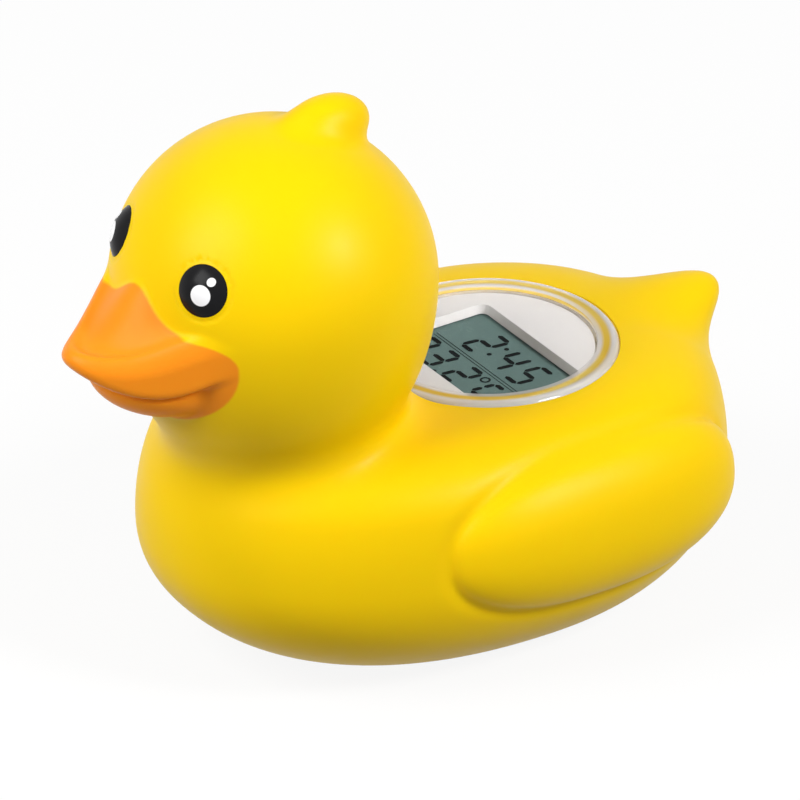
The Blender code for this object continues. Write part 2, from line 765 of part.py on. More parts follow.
def lcd_frame(white):
    """Carrier under the display, with feet on the board and lips beside the glass."""
    frame = disc("lcd_frame", BOARD_RADIUS, FRAME_BOTTOM, FRAME_TOP, white, (0.0, WINDOW_Y))
    root = FRAME_TOP - FRAME_THICKNESS / 2
    left = PANEL_LEFT - GAP
    left_low = window_point(left - FRAME_LIP, PANEL_FRONT + FRAME_LIP_MARGIN, root)
    left_high = window_point(left, PANEL_REAR - FRAME_LIP_MARGIN / 2, PANEL_TOP)
    rear = PANEL_REAR + GAP
    rear_low = window_point(PANEL_LEFT + FRAME_LIP_MARGIN, rear, root)
    rear_high = window_point(PANEL_RIGHT - FRAME_LIP_MARGIN, rear + FRAME_LIP, PANEL_TOP)
    join(frame, block("left lip", left_low, left_high, white), block("rear lip", rear_low, rear_high, white))
    for angle in FRAME_FOOT_ANGLES:
        place = round_window(BOARD_RADIUS - FRAME_FOOT_INSET, angle)
        foot = disc(f"foot {angle}", FRAME_FOOT_RADIUS, BOARD_TOP + GAP, root, white, place, HOLE_STEPS)
        join(frame, foot)
    low, high = zebra_places()
    slot = block(
        "zebra slot",
        window_point(low[0] - GAP, low[1] - GAP, FRAME_BOTTOM - PAST),
        window_point(high[0] + GAP, high[1] + GAP, FRAME_TOP + GAP / 2),
        white,
    )
    opening = block(
        "frame opening",
        window_point(PANEL_LEFT + FRAME_BORDER, high[1] + FRAME_BORDER, FRAME_BOTTOM - PAST),
        window_point(PANEL_RIGHT - 2 * FRAME_BORDER, PANEL_REAR - FRAME_BORDER, FRAME_TOP + PAST),
        white,
    )
    return cut(frame, slot, opening)


def screw_places():
    return [round_window(BOSS_CIRCLE, angle) for angle in BOARD_SCREW_ANGLES]


def circuit_board(green):
    board = disc("circuit_board", BOARD_RADIUS, BOARD_BOTTOM, BOARD_TOP, green, (0.0, WINDOW_Y))
    radius = BOARD_SCREW_RADIUS + GAP
    low = BOARD_BOTTOM - PAST
    high = BOARD_TOP + PAST
    for number, place in enumerate(screw_places(), 1):
        cut(board, disc(f"board hole {number}", radius, low, high, green, place, HOLE_STEPS))
    return board


def screw(name, place, under_head, length, radius, head_radius, head_height, up, steel):
    """Pan-head screw. up is 1 for a head on top, -1 for a head below."""
    tip = under_head - up * length
    end = under_head + up * head_height
    profile = [(0.0, tip), (radius, tip + up * radius), (radius, under_head), (head_radius, under_head)]
    profile += [(head_radius, under_head + up * head_height * 0.6), (head_radius * 0.7, end), (0.0, end)]
    if up < 0:
        profile = profile[::-1]
    return turned(name, profile, steel, place, SMALL_STEPS)


def board_screws(steel):
    for number, place in enumerate(screw_places(), 1):
        screw(
            f"board_screw_{number}", place, BOARD_TOP + GAP, BOARD_SCREW_LENGTH, BOARD_SCREW_RADIUS,
            BOARD_SCREW_HEAD, BOARD_SCREW_HEAD_HEIGHT, 1, steel,
        )


def controller_chip(epoxy):
    """Potted drop under the board."""
    top = BOARD_BOTTOM - GAP
    bulge = (CHIP_RADIUS**2 + CHIP_HEIGHT**2) / (2 * CHIP_HEIGHT)
    half_angle = math.degrees(math.asin(CHIP_RADIUS / bulge))
    dome = arc((0.0, top - CHIP_HEIGHT + bulge), bulge, -90, -90 + half_angle, 6)
    profile = [(0.0, top - CHIP_HEIGHT)] + dome[1:] + [(0.0, top)]
    return turned("controller_chip", profile, epoxy, window_point(*CHIP_PLACE, 0.0), EYE_STEPS)


def clock_crystal(steel):
    profile = [(0.0, 0.0), (CRYSTAL_RADIUS, 0.0), (CRYSTAL_RADIUS, CRYSTAL_LENGTH), (0.0, CRYSTAL_LENGTH)]
    can = turned("clock_crystal", profile, steel, steps=SMALL_STEPS)
    place = window_point(*CRYSTAL_PLACE, BOARD_BOTTOM - GAP - CRYSTAL_RADIUS)
    can.matrix_world = Matrix.Translation(place) @ Matrix.Rotation(math.pi / 2, 4, "X")
    return can


def cover_seal(silicone):
    outer = COVER_RADIUS - SEAL_INSET
    return ring("cover_seal", outer - SEAL_WIDTH, outer, SEAL_BOTTOM, SEAL_TOP, silicone, (0.0, WINDOW_Y))


def case_profile():
    """Outer side of the case from foot to rim, then its inner side down to the door's recess."""
    floor_top = CUP_FLOOR + CUP_FLOOR_THICKNESS
    flange_top = FLANGE_BOTTOM + FLANGE_THICKNESS
    pin_hole = CONTACT_WIDTH / 2 + 2 * GAP
    pocket = POCKET_RADIUS
    seal_room = SPIGOT_RADIUS + DOOR_SEAL_WIDTH + 2 * GAP
    seal_room_top = RECESS_TOP + DOOR_SEAL_THICKNESS + GAP
    recess = DOOR_RADIUS + GAP
    outer = [
        (recess, BARREL_FOOT), (BARREL_RADIUS, BARREL_FOOT), (BARREL_RADIUS, FLANGE_BOTTOM),
        (FLANGE_RADIUS, FLANGE_BOTTOM), (FLANGE_RADIUS, flange_top), (BARREL_RADIUS, flange_top),
        (BARREL_RADIUS, CUP_FLOOR), (CUP_RADIUS, CUP_FLOOR), (CUP_RADIUS, COLLAR_BOTTOM),
        (COLLAR_RADIUS, COLLAR_BOTTOM), (COLLAR_RADIUS, COLLAR_TOP),
    ]
    inner = [
        (COLLAR_BORE, COLLAR_TOP), (COLLAR_BORE, CUP_TOP), (CUP_BORE, CUP_TOP), (CUP_BORE, floor_top),
        (BARREL_BORE, floor_top), (BARREL_BORE, PARTITION_TOP), (pin_hole, PARTITION_TOP),
        (pin_hole, POCKET_TOP), (pocket, POCKET_TOP), (pocket, seal_room_top),
        (seal_room, seal_room_top), (seal_room, RECESS_TOP), (recess, RECESS_TOP),
    ]
    return outer + inner


def module_case(white):
    """Cup, battery barrel and sensor barrel in one moulding."""
    window = (0.0, WINDOW_Y)
    tip = (0.0, SENSOR_Y)
    case = turned("module_case", case_profile(), white, window, CASE_STEPS)
    top = CUP_FLOOR + CUP_FLOOR_THICKNESS + SENSOR_CHIMNEY
    barrel = disc("sensor barrel", SENSOR_BARREL_RADIUS, SENSOR_BARREL_FOOT, top, white, tip, EYE_STEPS)
    join(case, barrel, solver=CASE_SOLVER)
    cut(
        case,
        disc("sensor bore", SENSOR_BORE, SENSOR_LEDGE, top + GAP / 2, white, tip, EYE_STEPS),
        disc("tip hole", SENSOR_TIP_RADIUS + GAP, 0.0, SENSOR_LEDGE + PAST, white, tip, EYE_STEPS),
        solver=CASE_SOLVER,
    )
    pilot_radius = BOARD_SCREW_RADIUS + GAP
    pilot_bottom = CUP_FLOOR + CUP_FLOOR_THICKNESS
    boss_root = CUP_FLOOR + CUP_FLOOR_THICKNESS / 2
    boss_top = BOARD_BOTTOM - GAP
    for number, place in enumerate(screw_places(), 1):
        boss = disc(f"boss {number}", BOSS_RADIUS, boss_root, boss_top, white, place, EYE_STEPS)
        pilot = disc(f"pilot {number}", pilot_radius, pilot_bottom, boss_top + PAST, white, place, HOLE_STEPS)
        join(case, boss, solver=CASE_SOLVER)
        cut(case, pilot, solver=CASE_SOLVER)
    half = CONTACT_WIDTH / 2 + GAP
    reach = POCKET_RADIUS + CONTACT_THICKNESS + 3 * GAP
    low = window_point(-half, 0.0, NEGATIVE_BOTTOM - GAP / 2)
    high = window_point(half, reach, PARTITION_TOP + PAST)
    cut(case, block("contact channel", low, high, white), solver=CASE_SOLVER)
    pilot_top = DOOR_BOTTOM + DOOR_SCREW_HEAD_HEIGHT + DOOR_SCREW_LENGTH + GAP
    for side in (1, -1):
        place = (side * DOOR_SCREW_PLACE, WINDOW_Y)
        pilot = disc(f"door pilot {side}", DOOR_SCREW_RADIUS + GAP, 0.0, pilot_top, white, place, HOLE_STEPS)
        cut(case, pilot, solver=CASE_SOLVER)
    return case


def battery_door(white):
    barrel = (0.0, WINDOW_Y)
    profile = [(0.0, DOOR_BOTTOM), (DOOR_RADIUS, DOOR_BOTTOM), (DOOR_RADIUS, DOOR_TOP)]
    profile += [(SPIGOT_RADIUS, DOOR_TOP), (SPIGOT_RADIUS, SPIGOT_TOP), (0.0, SPIGOT_TOP)]
    door = turned("battery_door", profile, white, barrel)
    hole = DOOR_SCREW_RADIUS + GAP
    head_hole = DOOR_SCREW_HEAD + GAP
    head_room = DOOR_BOTTOM + DOOR_SCREW_HEAD_HEIGHT + GAP
    for side in (1, -1):
        place = (side * DOOR_SCREW_PLACE, WINDOW_Y)
        cut(
            door,
            disc(f"door hole {side}", hole, 0.0, DOOR_TOP + PAST, white, place, HOLE_STEPS),
            disc(f"head room {side}", head_hole, 0.0, head_room, white, place, HOLE_STEPS),
        )
    return door


def door_screws(steel):
    for number, side in enumerate((1, -1), 1):
        place = (side * DOOR_SCREW_PLACE, WINDOW_Y)
        screw(
            f"door_screw_{number}", place, DOOR_BOTTOM + DOOR_SCREW_HEAD_HEIGHT, DOOR_SCREW_LENGTH,
            DOOR_SCREW_RADIUS, DOOR_SCREW_HEAD, DOOR_SCREW_HEAD_HEIGHT, -1, steel,
        )


def door_seal(rubber):
    inner = SPIGOT_RADIUS + GAP
    bottom = DOOR_TOP + GAP
    return ring(
        "door_seal", inner, inner + DOOR_SEAL_WIDTH, bottom, bottom + DOOR_SEAL_THICKNESS, rubber,
        (0.0, WINDOW_Y), CASE_STEPS,
    )


def coin_cell(steel):
    profile = [(0.0, CELL_BOTTOM), (CELL_RADIUS - CELL_STEP, CELL_BOTTOM)]
    profile += [(CELL_RADIUS, CELL_BOTTOM + CELL_ROUND), (CELL_RADIUS, CELL_TOP - CELL_ROUND)]
    profile += [(CELL_RADIUS - CELL_ROUND, CELL_TOP), (0.0, CELL_TOP)]
    return turned("coin_cell", profile, steel, (0.0, WINDOW_Y))


def negative_contact(nickel):
    """Disc under the cell, with an arm that rises beside it through a channel in the case."""
    window = (0.0, WINDOW_Y)
    top = NEGATIVE_BOTTOM + CONTACT_THICKNESS
    contact = disc("negative_contact", CONTACT_RADIUS, NEGATIVE_BOTTOM, top, nickel, window, EYE_STEPS)
    outer = riser_place() + CONTACT_THICKNESS
    half = CONTACT_WIDTH / 2
    middle = window_point(-half, 0.0, NEGATIVE_BOTTOM)
    arm = block("contact arm", middle, window_point(half, outer, top), nickel)
    foot = window_point(-half, riser_place(), NEGATIVE_BOTTOM)
    riser = block("contact riser", foot, window_point(half, outer, PARTITION_TOP + CONTACT_TAB), nickel)
    return join(contact, arm, riser)


def riser_place():
    """Where the negative contact's riser begins, from the barrel's axis to the rear."""
    return POCKET_RADIUS + GAP


def positive_contact(nickel):
    """Disc over the cell, with a pin up through the partition."""
    window = (0.0, WINDOW_Y)
    top = POSITIVE_BOTTOM + CONTACT_THICKNESS
    root = POSITIVE_BOTTOM + CONTACT_THICKNESS / 2
    tab = PARTITION_TOP + CONTACT_TAB
    contact = disc("positive_contact", CONTACT_RADIUS, POSITIVE_BOTTOM, top, nickel, window, EYE_STEPS)
    pin = disc("contact pin", CONTACT_WIDTH / 2, root, tab, nickel, window, HOLE_STEPS)
    return join(contact, pin)


def battery_lead(name, start_y, pad, finish):
    """Lead from a contact's tab up to its pad under the board."""
    bottom = PARTITION_TOP + CONTACT_TAB + GAP + SOLDER
    top = BOARD_BOTTOM - GAP - SOLDER
    middle = (pad[0] / 2, (start_y + pad[1]) / 2, (bottom + top) / 2)
    route = [
        window_point(0.0, start_y, bottom),
        window_point(0.0, start_y, bottom + WIRE_STRAIGHT),
        window_point(*middle),
        window_point(*pad, top - WIRE_STRAIGHT),
        window_point(*pad, top),
    ]
    wire(name, route, WIRE_RADIUS, finish)


def sensor(steel, rubber, glass_bead, tinned):
    """Steel tip with its seal, the bead in it and two thin leads up to the board."""
    tip = (0.0, SENSOR_Y)
    inner = SENSOR_TIP_RADIUS - SENSOR_TIP_WALL
    flange_bottom = SENSOR_LEDGE + GAP
    flange_top = flange_bottom + SENSOR_FLANGE_THICKNESS
    foot = SENSOR_TIP_FOOT
    bevel = SENSOR_TIP_BEVEL
    profile = [(0.0, foot), (SENSOR_TIP_RADIUS - bevel, foot), (SENSOR_TIP_RADIUS, foot + bevel)]
    profile += [(SENSOR_TIP_RADIUS, flange_bottom), (SENSOR_FLANGE_RADIUS, flange_bottom)]
    profile += [(SENSOR_FLANGE_RADIUS, flange_top), (inner, flange_top), (inner, foot + SENSOR_TIP_WALL)]
    profile += [(0.0, foot + SENSOR_TIP_WALL)]
    turned("sensor_cap", profile, steel, tip, EYE_STEPS)
    seal_bottom = flange_top + GAP
    seal_top = seal_bottom + SENSOR_SEAL_THICKNESS
    inside = SENSOR_TIP_RADIUS
    ring("sensor_seal", inside, SENSOR_FLANGE_RADIUS, seal_bottom, seal_top, rubber, tip, SMALL_STEPS)
    bead_bottom = foot + SENSOR_TIP_WALL + GAP
    bead_top = bead_bottom + BEAD_LENGTH
    waist = BEAD_RADIUS - BEAD_ROUND
    profile = [(0.0, bead_bottom), (waist, bead_bottom), (BEAD_RADIUS, bead_bottom + BEAD_ROUND)]
    profile += [(BEAD_RADIUS, bead_top - BEAD_ROUND), (waist, bead_top), (0.0, bead_top)]
    turned("thermistor", profile, glass_bead, tip, SMALL_STEPS)
    top = BOARD_BOTTOM - GAP - SOLDER
    pad_y = WINDOW_Y - BOARD_RADIUS + LEAD_INSET
    for number, side in enumerate((1, -1), 1):
        x = side * LEAD_SPACING / 2
        pad_x = side * LEAD_SPREAD / 2
        route = [
            (x, SENSOR_Y, bead_top + GAP + SOLDER),
            (x, SENSOR_Y, (bead_top + CUP_FLOOR) / 2),
            (x, SENSOR_Y, CUP_FLOOR),
            (pad_x, pad_y, top - LEAD_STRAIGHT),
            (pad_x, pad_y, top),
        ]
        wire(f"sensor_lead_{number}", route, LEAD_RADIUS, tinned)


def build():
    clear_scene()
    vinyl = material("yellow vinyl", (0.90, 0.66, 0.002), 0.38)
    paint = material("orange paint", (0.93, 0.36, 0.02), 0.36)
    eye_black = material("gloss black", (0.01, 0.01, 0.01), 0.08)
    clear = material("clear plastic", (0.95, 0.95, 0.95), 0.04, transmission=1.0)
    white = material("white plastic", (0.78, 0.76, 0.74), 0.35)
    display = material("display", (0.13, 0.20, 0.18), 0.2)
    rubber = material("rubber", (0.03, 0.03, 0.03), 0.6)
    silicone = material("silicone", (0.80, 0.80, 0.78), 0.4)
    green = material("circuit board", (0.01, 0.10, 0.03), 0.4)
    epoxy = material("potting", (0.012, 0.012, 0.012), 0.3)
    steel = material("steel", (0.6, 0.6, 0.6), 0.25, metallic=1.0)
    nickel = material("nickel", (0.65, 0.62, 0.55), 0.3, metallic=1.0)
    red = material("red lead", (0.6, 0.02, 0.02), 0.45)
    black = material("black lead", (0.02, 0.02, 0.02), 0.45)
    bead = material("bead", (0.02, 0.015, 0.012), 0.2)
    duck_shell(vinyl, paint)
    eye("left_eye", 1, eye_black)
    eye("right_eye", -1, eye_black)
    clear_cover(clear)
    cover_seal(silicone)
    face_plate(white)
    lcd_panel(display)
    zebra_strip(rubber)
    lcd_frame(white)
    circuit_board(green)
    controller_chip(epoxy)
    clock_crystal(steel)
    board_screws(steel)
    module_case(white)
    coin_cell(steel)
    positive_contact(nickel)
    negative_contact(nickel)
    battery_lead("positive_lead", 0.0, POSITIVE_PAD, red)
    battery_lead("negative_lead", riser_place() + CONTACT_THICKNESS / 2, NEGATIVE_PAD, black)
    sensor(steel, rubber, bead, nickel)
    battery_door(white)
    door_seal(rubber)
    door_screws(steel)


build()
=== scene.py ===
"""Looks of the floating duck bath thermometer: finish, fine surfaces, display, light and camera.

Lengths are in metres, in the frame's own axes: the duck looks along -Y, and +Z is up. Places are
worked out from the window's axis in the back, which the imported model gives.
"""

import math

import bmesh
import bpy
import numpy as np
from mathutils import Euler, Matrix, Vector

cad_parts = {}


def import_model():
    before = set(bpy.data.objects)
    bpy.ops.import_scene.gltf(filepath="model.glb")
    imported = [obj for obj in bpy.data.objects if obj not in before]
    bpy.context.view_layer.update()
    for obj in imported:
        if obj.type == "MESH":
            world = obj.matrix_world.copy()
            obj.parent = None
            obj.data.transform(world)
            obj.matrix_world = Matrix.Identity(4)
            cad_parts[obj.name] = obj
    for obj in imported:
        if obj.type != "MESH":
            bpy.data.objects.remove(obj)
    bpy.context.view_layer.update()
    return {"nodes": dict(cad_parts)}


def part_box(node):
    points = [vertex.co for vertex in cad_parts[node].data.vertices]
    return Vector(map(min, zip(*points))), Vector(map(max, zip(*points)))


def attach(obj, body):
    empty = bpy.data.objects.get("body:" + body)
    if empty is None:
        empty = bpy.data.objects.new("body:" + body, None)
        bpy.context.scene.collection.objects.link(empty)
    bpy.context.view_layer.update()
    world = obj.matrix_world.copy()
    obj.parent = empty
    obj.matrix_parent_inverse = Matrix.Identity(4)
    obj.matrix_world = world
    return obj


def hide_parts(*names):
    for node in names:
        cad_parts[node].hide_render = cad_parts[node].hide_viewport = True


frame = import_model()

MM = 0.001

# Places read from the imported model
cover_low, cover_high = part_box("clear_cover")
plate_low, plate_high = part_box("face_plate")
panel_low, panel_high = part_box("lcd_panel")
case_low, case_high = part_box("module_case")
door_low, door_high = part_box("battery_door")
tip_low, tip_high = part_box("sensor_cap")
WINDOW_Y = (cover_low.y + cover_high.y) / 2
WINDOW = (0.0, WINDOW_Y)
COVER_RADIUS = (cover_high.x - cover_low.x) / 2
COVER_TOP = cover_high.z
COVER_BOTTOM = cover_low.z

# Skin: mesh cells, wall, and the room kept to what passes through it
SKIN_CELL = 0.00078
HOLLOW_CELL = 0.0030
WALL = 0.0022
GAP = 0.0003
PAST = 0.002
FORM_MARGIN = 0.002
SEAT_BOTTOM = 0.022
TIP_HOLE_RADIUS = 0.0045
UNDER_REACH = 0.1
UNDER_DEPTH = 0.01

# Meshing of a form: rounds of moving the points, step of a slope, and what counts as on the form
ONTO_ROUNDS = 3
EVEN_ROUNDS = 3
LAST_ROUNDS = 2
SLOPE_STEP = 1e-5
LEAST_SLOPE = 0.05
ON_FORM = 2e-5
FACING = 0.6

# Body: half sizes to the sides, to the front and the rear, above and below its centre
BODY_CENTRE = (0.0, WINDOW_Y - 0.0050, 0.0194)
BODY_HALF_WIDTH = 0.0315
BODY_FRONT = 0.0482
BODY_REAR = 0.0387
BODY_ABOVE = 0.0328
BODY_BELOW = 0.0225
BODY_POWER = 2.2
BACK_HEIGHT = 0.0371
BACK_BLEND = 0.0077
BASE_BLEND = 0.0020
BASE_TRIM = 0.0003

# Head: a sphere above its centre, drawn down into the neck below it
HEAD_CENTRE = (0.0, WINDOW_Y - 0.0356, 0.0585)
HEAD_RADIUS = 0.0230
NECK_DEPTH = 0.0300
NECK_BLEND = 0.0060

# Tail and tuft: centre, half sizes, tilt up to the rear, and blend into what carries them
TAIL_CENTRE = (0.0, WINDOW_Y + 0.0293, 0.0326)
TAIL_HALF = (0.0052, 0.0092, 0.0036)
TAIL_TURN = (20, 0, 0)
TAIL_BLEND = 0.0067
TUFT_CENTRE = (0.0, WINDOW_Y - 0.0271, 0.0797)
TUFT_HALF = (0.0042, 0.0070, 0.0046)
TUFT_TURN = (3, 0, 0)
TUFT_BLEND = 0.0025

# Wings: raised lobes, mirrored
WING_CENTRE = (0.0229, WINDOW_Y - 0.0012, 0.0222)
WING_HALF = (0.0118, 0.0262, 0.0126)
WING_TURN = (-0.7, -6.3, 2.8)
WING_BLEND = 0.0005
WING_POWER = 2.3

# Beak, from the middle of the head
BILL_TIP = 0.0345
BILL_TIP_RADIUS = 0.0038
BILL_FLARE = 0.54
BILL_TOP = -0.0034
BILL_ROOT_RISE = 0.0043
BILL_RIDGE_RISE = 0.0049
BILL_RIDGE_WIDTH = 0.0049
BILL_FALL = 0.0042
BILL_FALL_POWER = 1.4
BILL_RIM_RISE = 0.0007
BILL_RIM_INSET = 0.0014
BILL_RIM_WIDTH = 0.0013
BILL_CURL = 23.0
BILL_CURL_START = 0.0270
BILL_ROUND = 0.0020
BILL_ROOT_BLEND = 0.0010
MOUTH_HEIGHT = -0.0081
MOUTH_SMILE = 50.0
MOUTH_LOWEST = 0.0255
CHIN_CENTRE = (0.0, -0.0163, -0.0080)
CHIN_HALF = (0.0116, 0.0129, 0.0065)
CHIN_BLEND = 0.0010

# Room round the beak that gets a finer mesh, from the middle of the head
FINE_REAR = -0.0125
FINE_LOW = -0.0155
FINE_HIGH = 0.0075
FINE_HALF_WIDTH = 0.0175

# Creases of the skin, along the edge of the wings and along the mouth
WING_CREASE_DEPTH = 0.00035
WING_CREASE_WIDTH = 0.0007
MOUTH_CREASE_DEPTH = 0.00040
MOUTH_CREASE_WIDTH = 0.00045
MOUTH_CREASE_START = 0.0001
MOUTH_CREASE_REACH = 0.0010

# Orange paint, as an outline seen from the front, from the middle of the head
PAINT_HALF_WIDTH = 0.0161
PAINT_TOP = 0.0012
PAINT_MIDDLE = -0.0025
PAINT_BOTTOM = -0.0146
PAINT_PEAK = 0.0045
PAINT_PEAK_WIDTH = 0.0049
PAINT_SHOULDER_POWER = 6

# Distances of the paint and spot attributes, in millimetres: far from any edge, and half the
# width over which one colour goes over into the other
FAR = 10.0
PAINT_SOFTNESS = 0.16
SPOT_SOFTNESS = 0.04

# Eyes, and the white spots printed on them, from the eye's middle
EYE_PLACE = (0.0104, -0.0187, 0.0083)
EYE_RADIUS = 0.0037
EYE_HEIGHT = 0.0013
EYE_SINK = 0.0003
EYE_ARC_POINTS = 60
EYE_PEG_RADIUS = 0.0014
EYE_PEG_LENGTH = 0.0042
SOCKET_DEPTH = 0.0008
SOCKET_GAP = 0.00006
SOCKET_STEPS = 72
PEG_STEPS = 24
RING_RADIUS = 0.0043
RING_WIDTH = 0.00035
RING_DEPTH = 0.00012
LARGE_SPOT = (0.00022, -0.00055, 0.0015)
SMALL_SPOT = (0.00141, 0.00162, 0.00062)

# Cover: rim and web, and the rim's painted bands of light, refracted yellow and light, which stand
# in for the lit rim and the yellow vinyl seen through it, with the radii in millimetres between
# which they go over into each other
COVER_RIM = 0.0031
COVER_WEB = 0.0013
COVER_ROUND = 0.0010
COVER_ROUND_POINTS = 12
FLAT_EDGE = 0.0002
WEB_CLEAR = (0.97, 0.975, 0.97)
RIM_PAINTED_LIGHT = (0.80, 0.78, 0.78)
RIM_PAINTED_REFRACTION = (0.93, 0.66, 0.10)
RIM_START = (COVER_RADIUS - COVER_RIM) / MM
RIM_SOFTNESS = 0.05
REFRACTION_START = (15.85, 16.35)
REFRACTION_END = (16.95, 17.45)
RIM_TRANSMISSION = 0.5
CLEAR_IOR = 1.49

# Plate, and the sight opening in it, from the window's axis
PLATE_RADIUS = COVER_RADIUS - COVER_RIM - GAP
PLATE_EDGE = 0.0002
SIGHT_LEFT = 0.0052 - PLATE_RADIUS
SIGHT_FRONT = 0.0054 - PLATE_RADIUS
SIGHT_REAR = PLATE_RADIUS - 0.0090
SIGHT_CHAMFER = 0.0005
SIGHT_CORNER = 0.0010

# Digits: each row gives its foot, height, width and characters with their left edges, and the
# bars of a character are lettered a to g, from the top round to the middle
STROKE = 0.00072
STROKE_GAP = 0.00011
SLANT = 0.12
BARS = {"2": "abged", "3": "abgcd", "4": "fgbc", "5": "afgcd", "C": "afed"}
ROWS = (
    (-0.00160, 0.0063, 0.0034, (("2", -0.00480), ("4", 0.00110), ("5", 0.00610))),
    (-0.00880, 0.0055, 0.0034, (("3", -0.00960), ("3", -0.00500), ("2", 0.00075))),
    (-0.00785, 0.0045, 0.0028, (("C", 0.00690),)),
)

# Other marks of the display: dots, the double line, and the ring of the degree sign
DOTS = ((0.00025, 0.00310), (0.00010, 0.00030), (-0.00020, -0.00870))
DOT_RADIUS = 0.00036
LINES = (-0.00237, -0.00287)
LINE_START = -0.0090
LINE_END = 0.0150
LINE_HALF = 0.00005
DEGREE_PLACE = (0.0059, -0.0042)
DEGREE_RADIUS = 0.00078
DEGREE_BORE = 0.00048
INK_LIFT = 0.00001
INK_HEIGHT = 0.00003

# Camera: direction of view in degrees, and the width that the photograph's frame shows
CAMERA_AZIMUTH = 56.5
CAMERA_ELEVATION = 29.1
FRAME_WIDTH = 0.1111
CAMERA_TARGET = (-0.00004, WINDOW_Y - 0.01446, 0.0324)
CAMERA_DISTANCE = 0.6
CLIP_START = 0.01
CLIP_END = 10.0

# Lamps: name, direction in degrees, size and power, all at one distance from the duck
LAMP_DISTANCE = 0.7
LAMPS = (
    ("key", -5, 42, 0.40, 4.0),
    ("side", 117, 38, 0.18, 3.5),
)
ROOM_LIGHT = 0.28

# Floor: it lies a little under the flat base, is white to the camera and greyer to the light
# that it throws back, and keeps a faint shadow
FLOOR_GAP = 0.00005
FLOOR_RADIUS = 3.0
FLOOR_STEPS = 64
FLOOR_GLOW = 0.9
FLOOR_GREY = 0.28
FLOOR_WHITE = 0.86

# Dark card that the camera doesn't see: direction from the window in degrees, distance and size
CARD_AZIMUTH = 236.5
CARD_ELEVATION = 29.1
CARD_DISTANCE = 0.5
CARD_SIZE = 0.075

ROUND_STEPS = 144

# Sockets of the colour mix
MIX_SHARE = 0
MIX_FIRST = 6
MIX_SECOND = 7
MIX_RESULT = 2


# Shader helpers

def shader_material(name):
    made = bpy.data.materials.new(name)
    made.use_nodes = True
    return made, made.node_tree, made.node_tree.nodes["Principled BSDF"]


def add_node(tree, kind, **values):
    made = tree.nodes.new(kind)
    for key, value in values.items():
        setattr(made, key, value)
    return made


def noise(tree, scale, detail=3.0):
    """Noise over the piece's own place, scale in features for each metre."""
    place = add_node(tree, "ShaderNodeTexCoord")
    made = add_node(tree, "ShaderNodeTexNoise")
    made.inputs["Scale"].default_value = scale
    made.inputs["Detail"].default_value = detail
    tree.links.new(place.outputs["Object"], made.inputs["Vector"])
    return made.outputs["Fac"]


def spread(tree, value, low, high, to_low=0.0, to_high=1.0):
    made = add_node(tree, "ShaderNodeMapRange")
    ends = {"From Min": low, "From Max": high, "To Min": to_low, "To Max": to_high}
    for name, number in ends.items():
        made.inputs[name].default_value = number
    tree.links.new(value, made.inputs["Value"])
    return made.outputs["Result"]


def mixed(tree, share, first, second):
    """Colour mix: first and second are colours or the outputs of nodes."""
    made = add_node(tree, "ShaderNodeMix", data_type="RGBA")
    tree.links.new(share, made.inputs[MIX_SHARE])
    for index, value in ((MIX_FIRST, first), (MIX_SECOND, second)):
        if isinstance(value, tuple):
            made.inputs[index].default_value = (*value, 1.0)
        else:
            tree.links.new(value, made.inputs[index])
    return made.outputs[MIX_RESULT]


def colour(tree, shader, value):
    tree.links.new(value, shader.inputs["Base Color"])


def roughness(tree, shader, scale, low, high, ends=(0.2, 0.8), detail=3.0):
    """Lets the roughness vary from low to high where the noise goes from end to end."""
    value = spread(tree, noise(tree, scale, detail), *ends, low, high)
    tree.links.new(value, shader.inputs["Roughness"])


def shine(shader, level):
    shader.inputs["Specular IOR Level"].default_value = level


def grain(tree, shader, scale, depth):
    """Fine relief of the surface, depth in metres."""
    made = add_node(tree, "ShaderNodeBump")
    made.inputs["Distance"].default_value = depth
    made.inputs["Strength"].default_value = 1.0
    tree.links.new(noise(tree, scale, 4.0), made.inputs["Height"])
    tree.links.new(made.outputs["Normal"], shader.inputs["Normal"])


def attribute(tree, name):
    return add_node(tree, "ShaderNodeAttribute", attribute_name=name).outputs["Fac"]


def seen_directly(tree):
    """1 where the camera, a reflection or a clear piece shows this, and 0 for scattered light."""
    paths = add_node(tree, "ShaderNodeLightPath")
    seen = paths.outputs["Is Camera Ray"]
    for name in ("Is Glossy Ray", "Is Transmission Ray"):
        either = add_node(tree, "ShaderNodeMath", operation="MAXIMUM")
        tree.links.new(seen, either.inputs[0])
        tree.links.new(paths.outputs[name], either.inputs[1])
        seen = either.outputs[0]
    return seen


# Materials

def vinyl():
    """Satin yellow vinyl with the beak sprayed orange, by the distance to the paint's edge."""
    made, tree, shader = shader_material("yellow vinyl with orange spray")
    cloud = noise(tree, 45.0, 2.0)
    yellow = mixed(tree, cloud, (0.93, 0.595, 0.0004), (0.95, 0.625, 0.0005))
    orange = mixed(tree, cloud, (0.94, 0.275, 0.010), (0.97, 0.310, 0.014))
    ragged = spread(tree, noise(tree, 1400.0), 0.0, 1.0, -0.05, 0.05)
    edge = add_node(tree, "ShaderNodeMath", operation="ADD")
    tree.links.new(attribute(tree, "paint"), edge.inputs[0])
    tree.links.new(ragged, edge.inputs[1])
    share = spread(tree, edge.outputs[0], -PAINT_SOFTNESS, PAINT_SOFTNESS)
    colour(tree, shader, mixed(tree, share, orange, yellow))
    roughness(tree, shader, 220.0, 0.36, 0.44)
    shine(shader, 0.1)
    shader.inputs["Subsurface Weight"].default_value = 0.2
    shader.inputs["Subsurface Radius"].default_value = (1.0, 0.55, 0.08)
    shader.inputs["Subsurface Scale"].default_value = 0.0022
    grain(tree, shader, 2600.0, 0.000012)
    return made


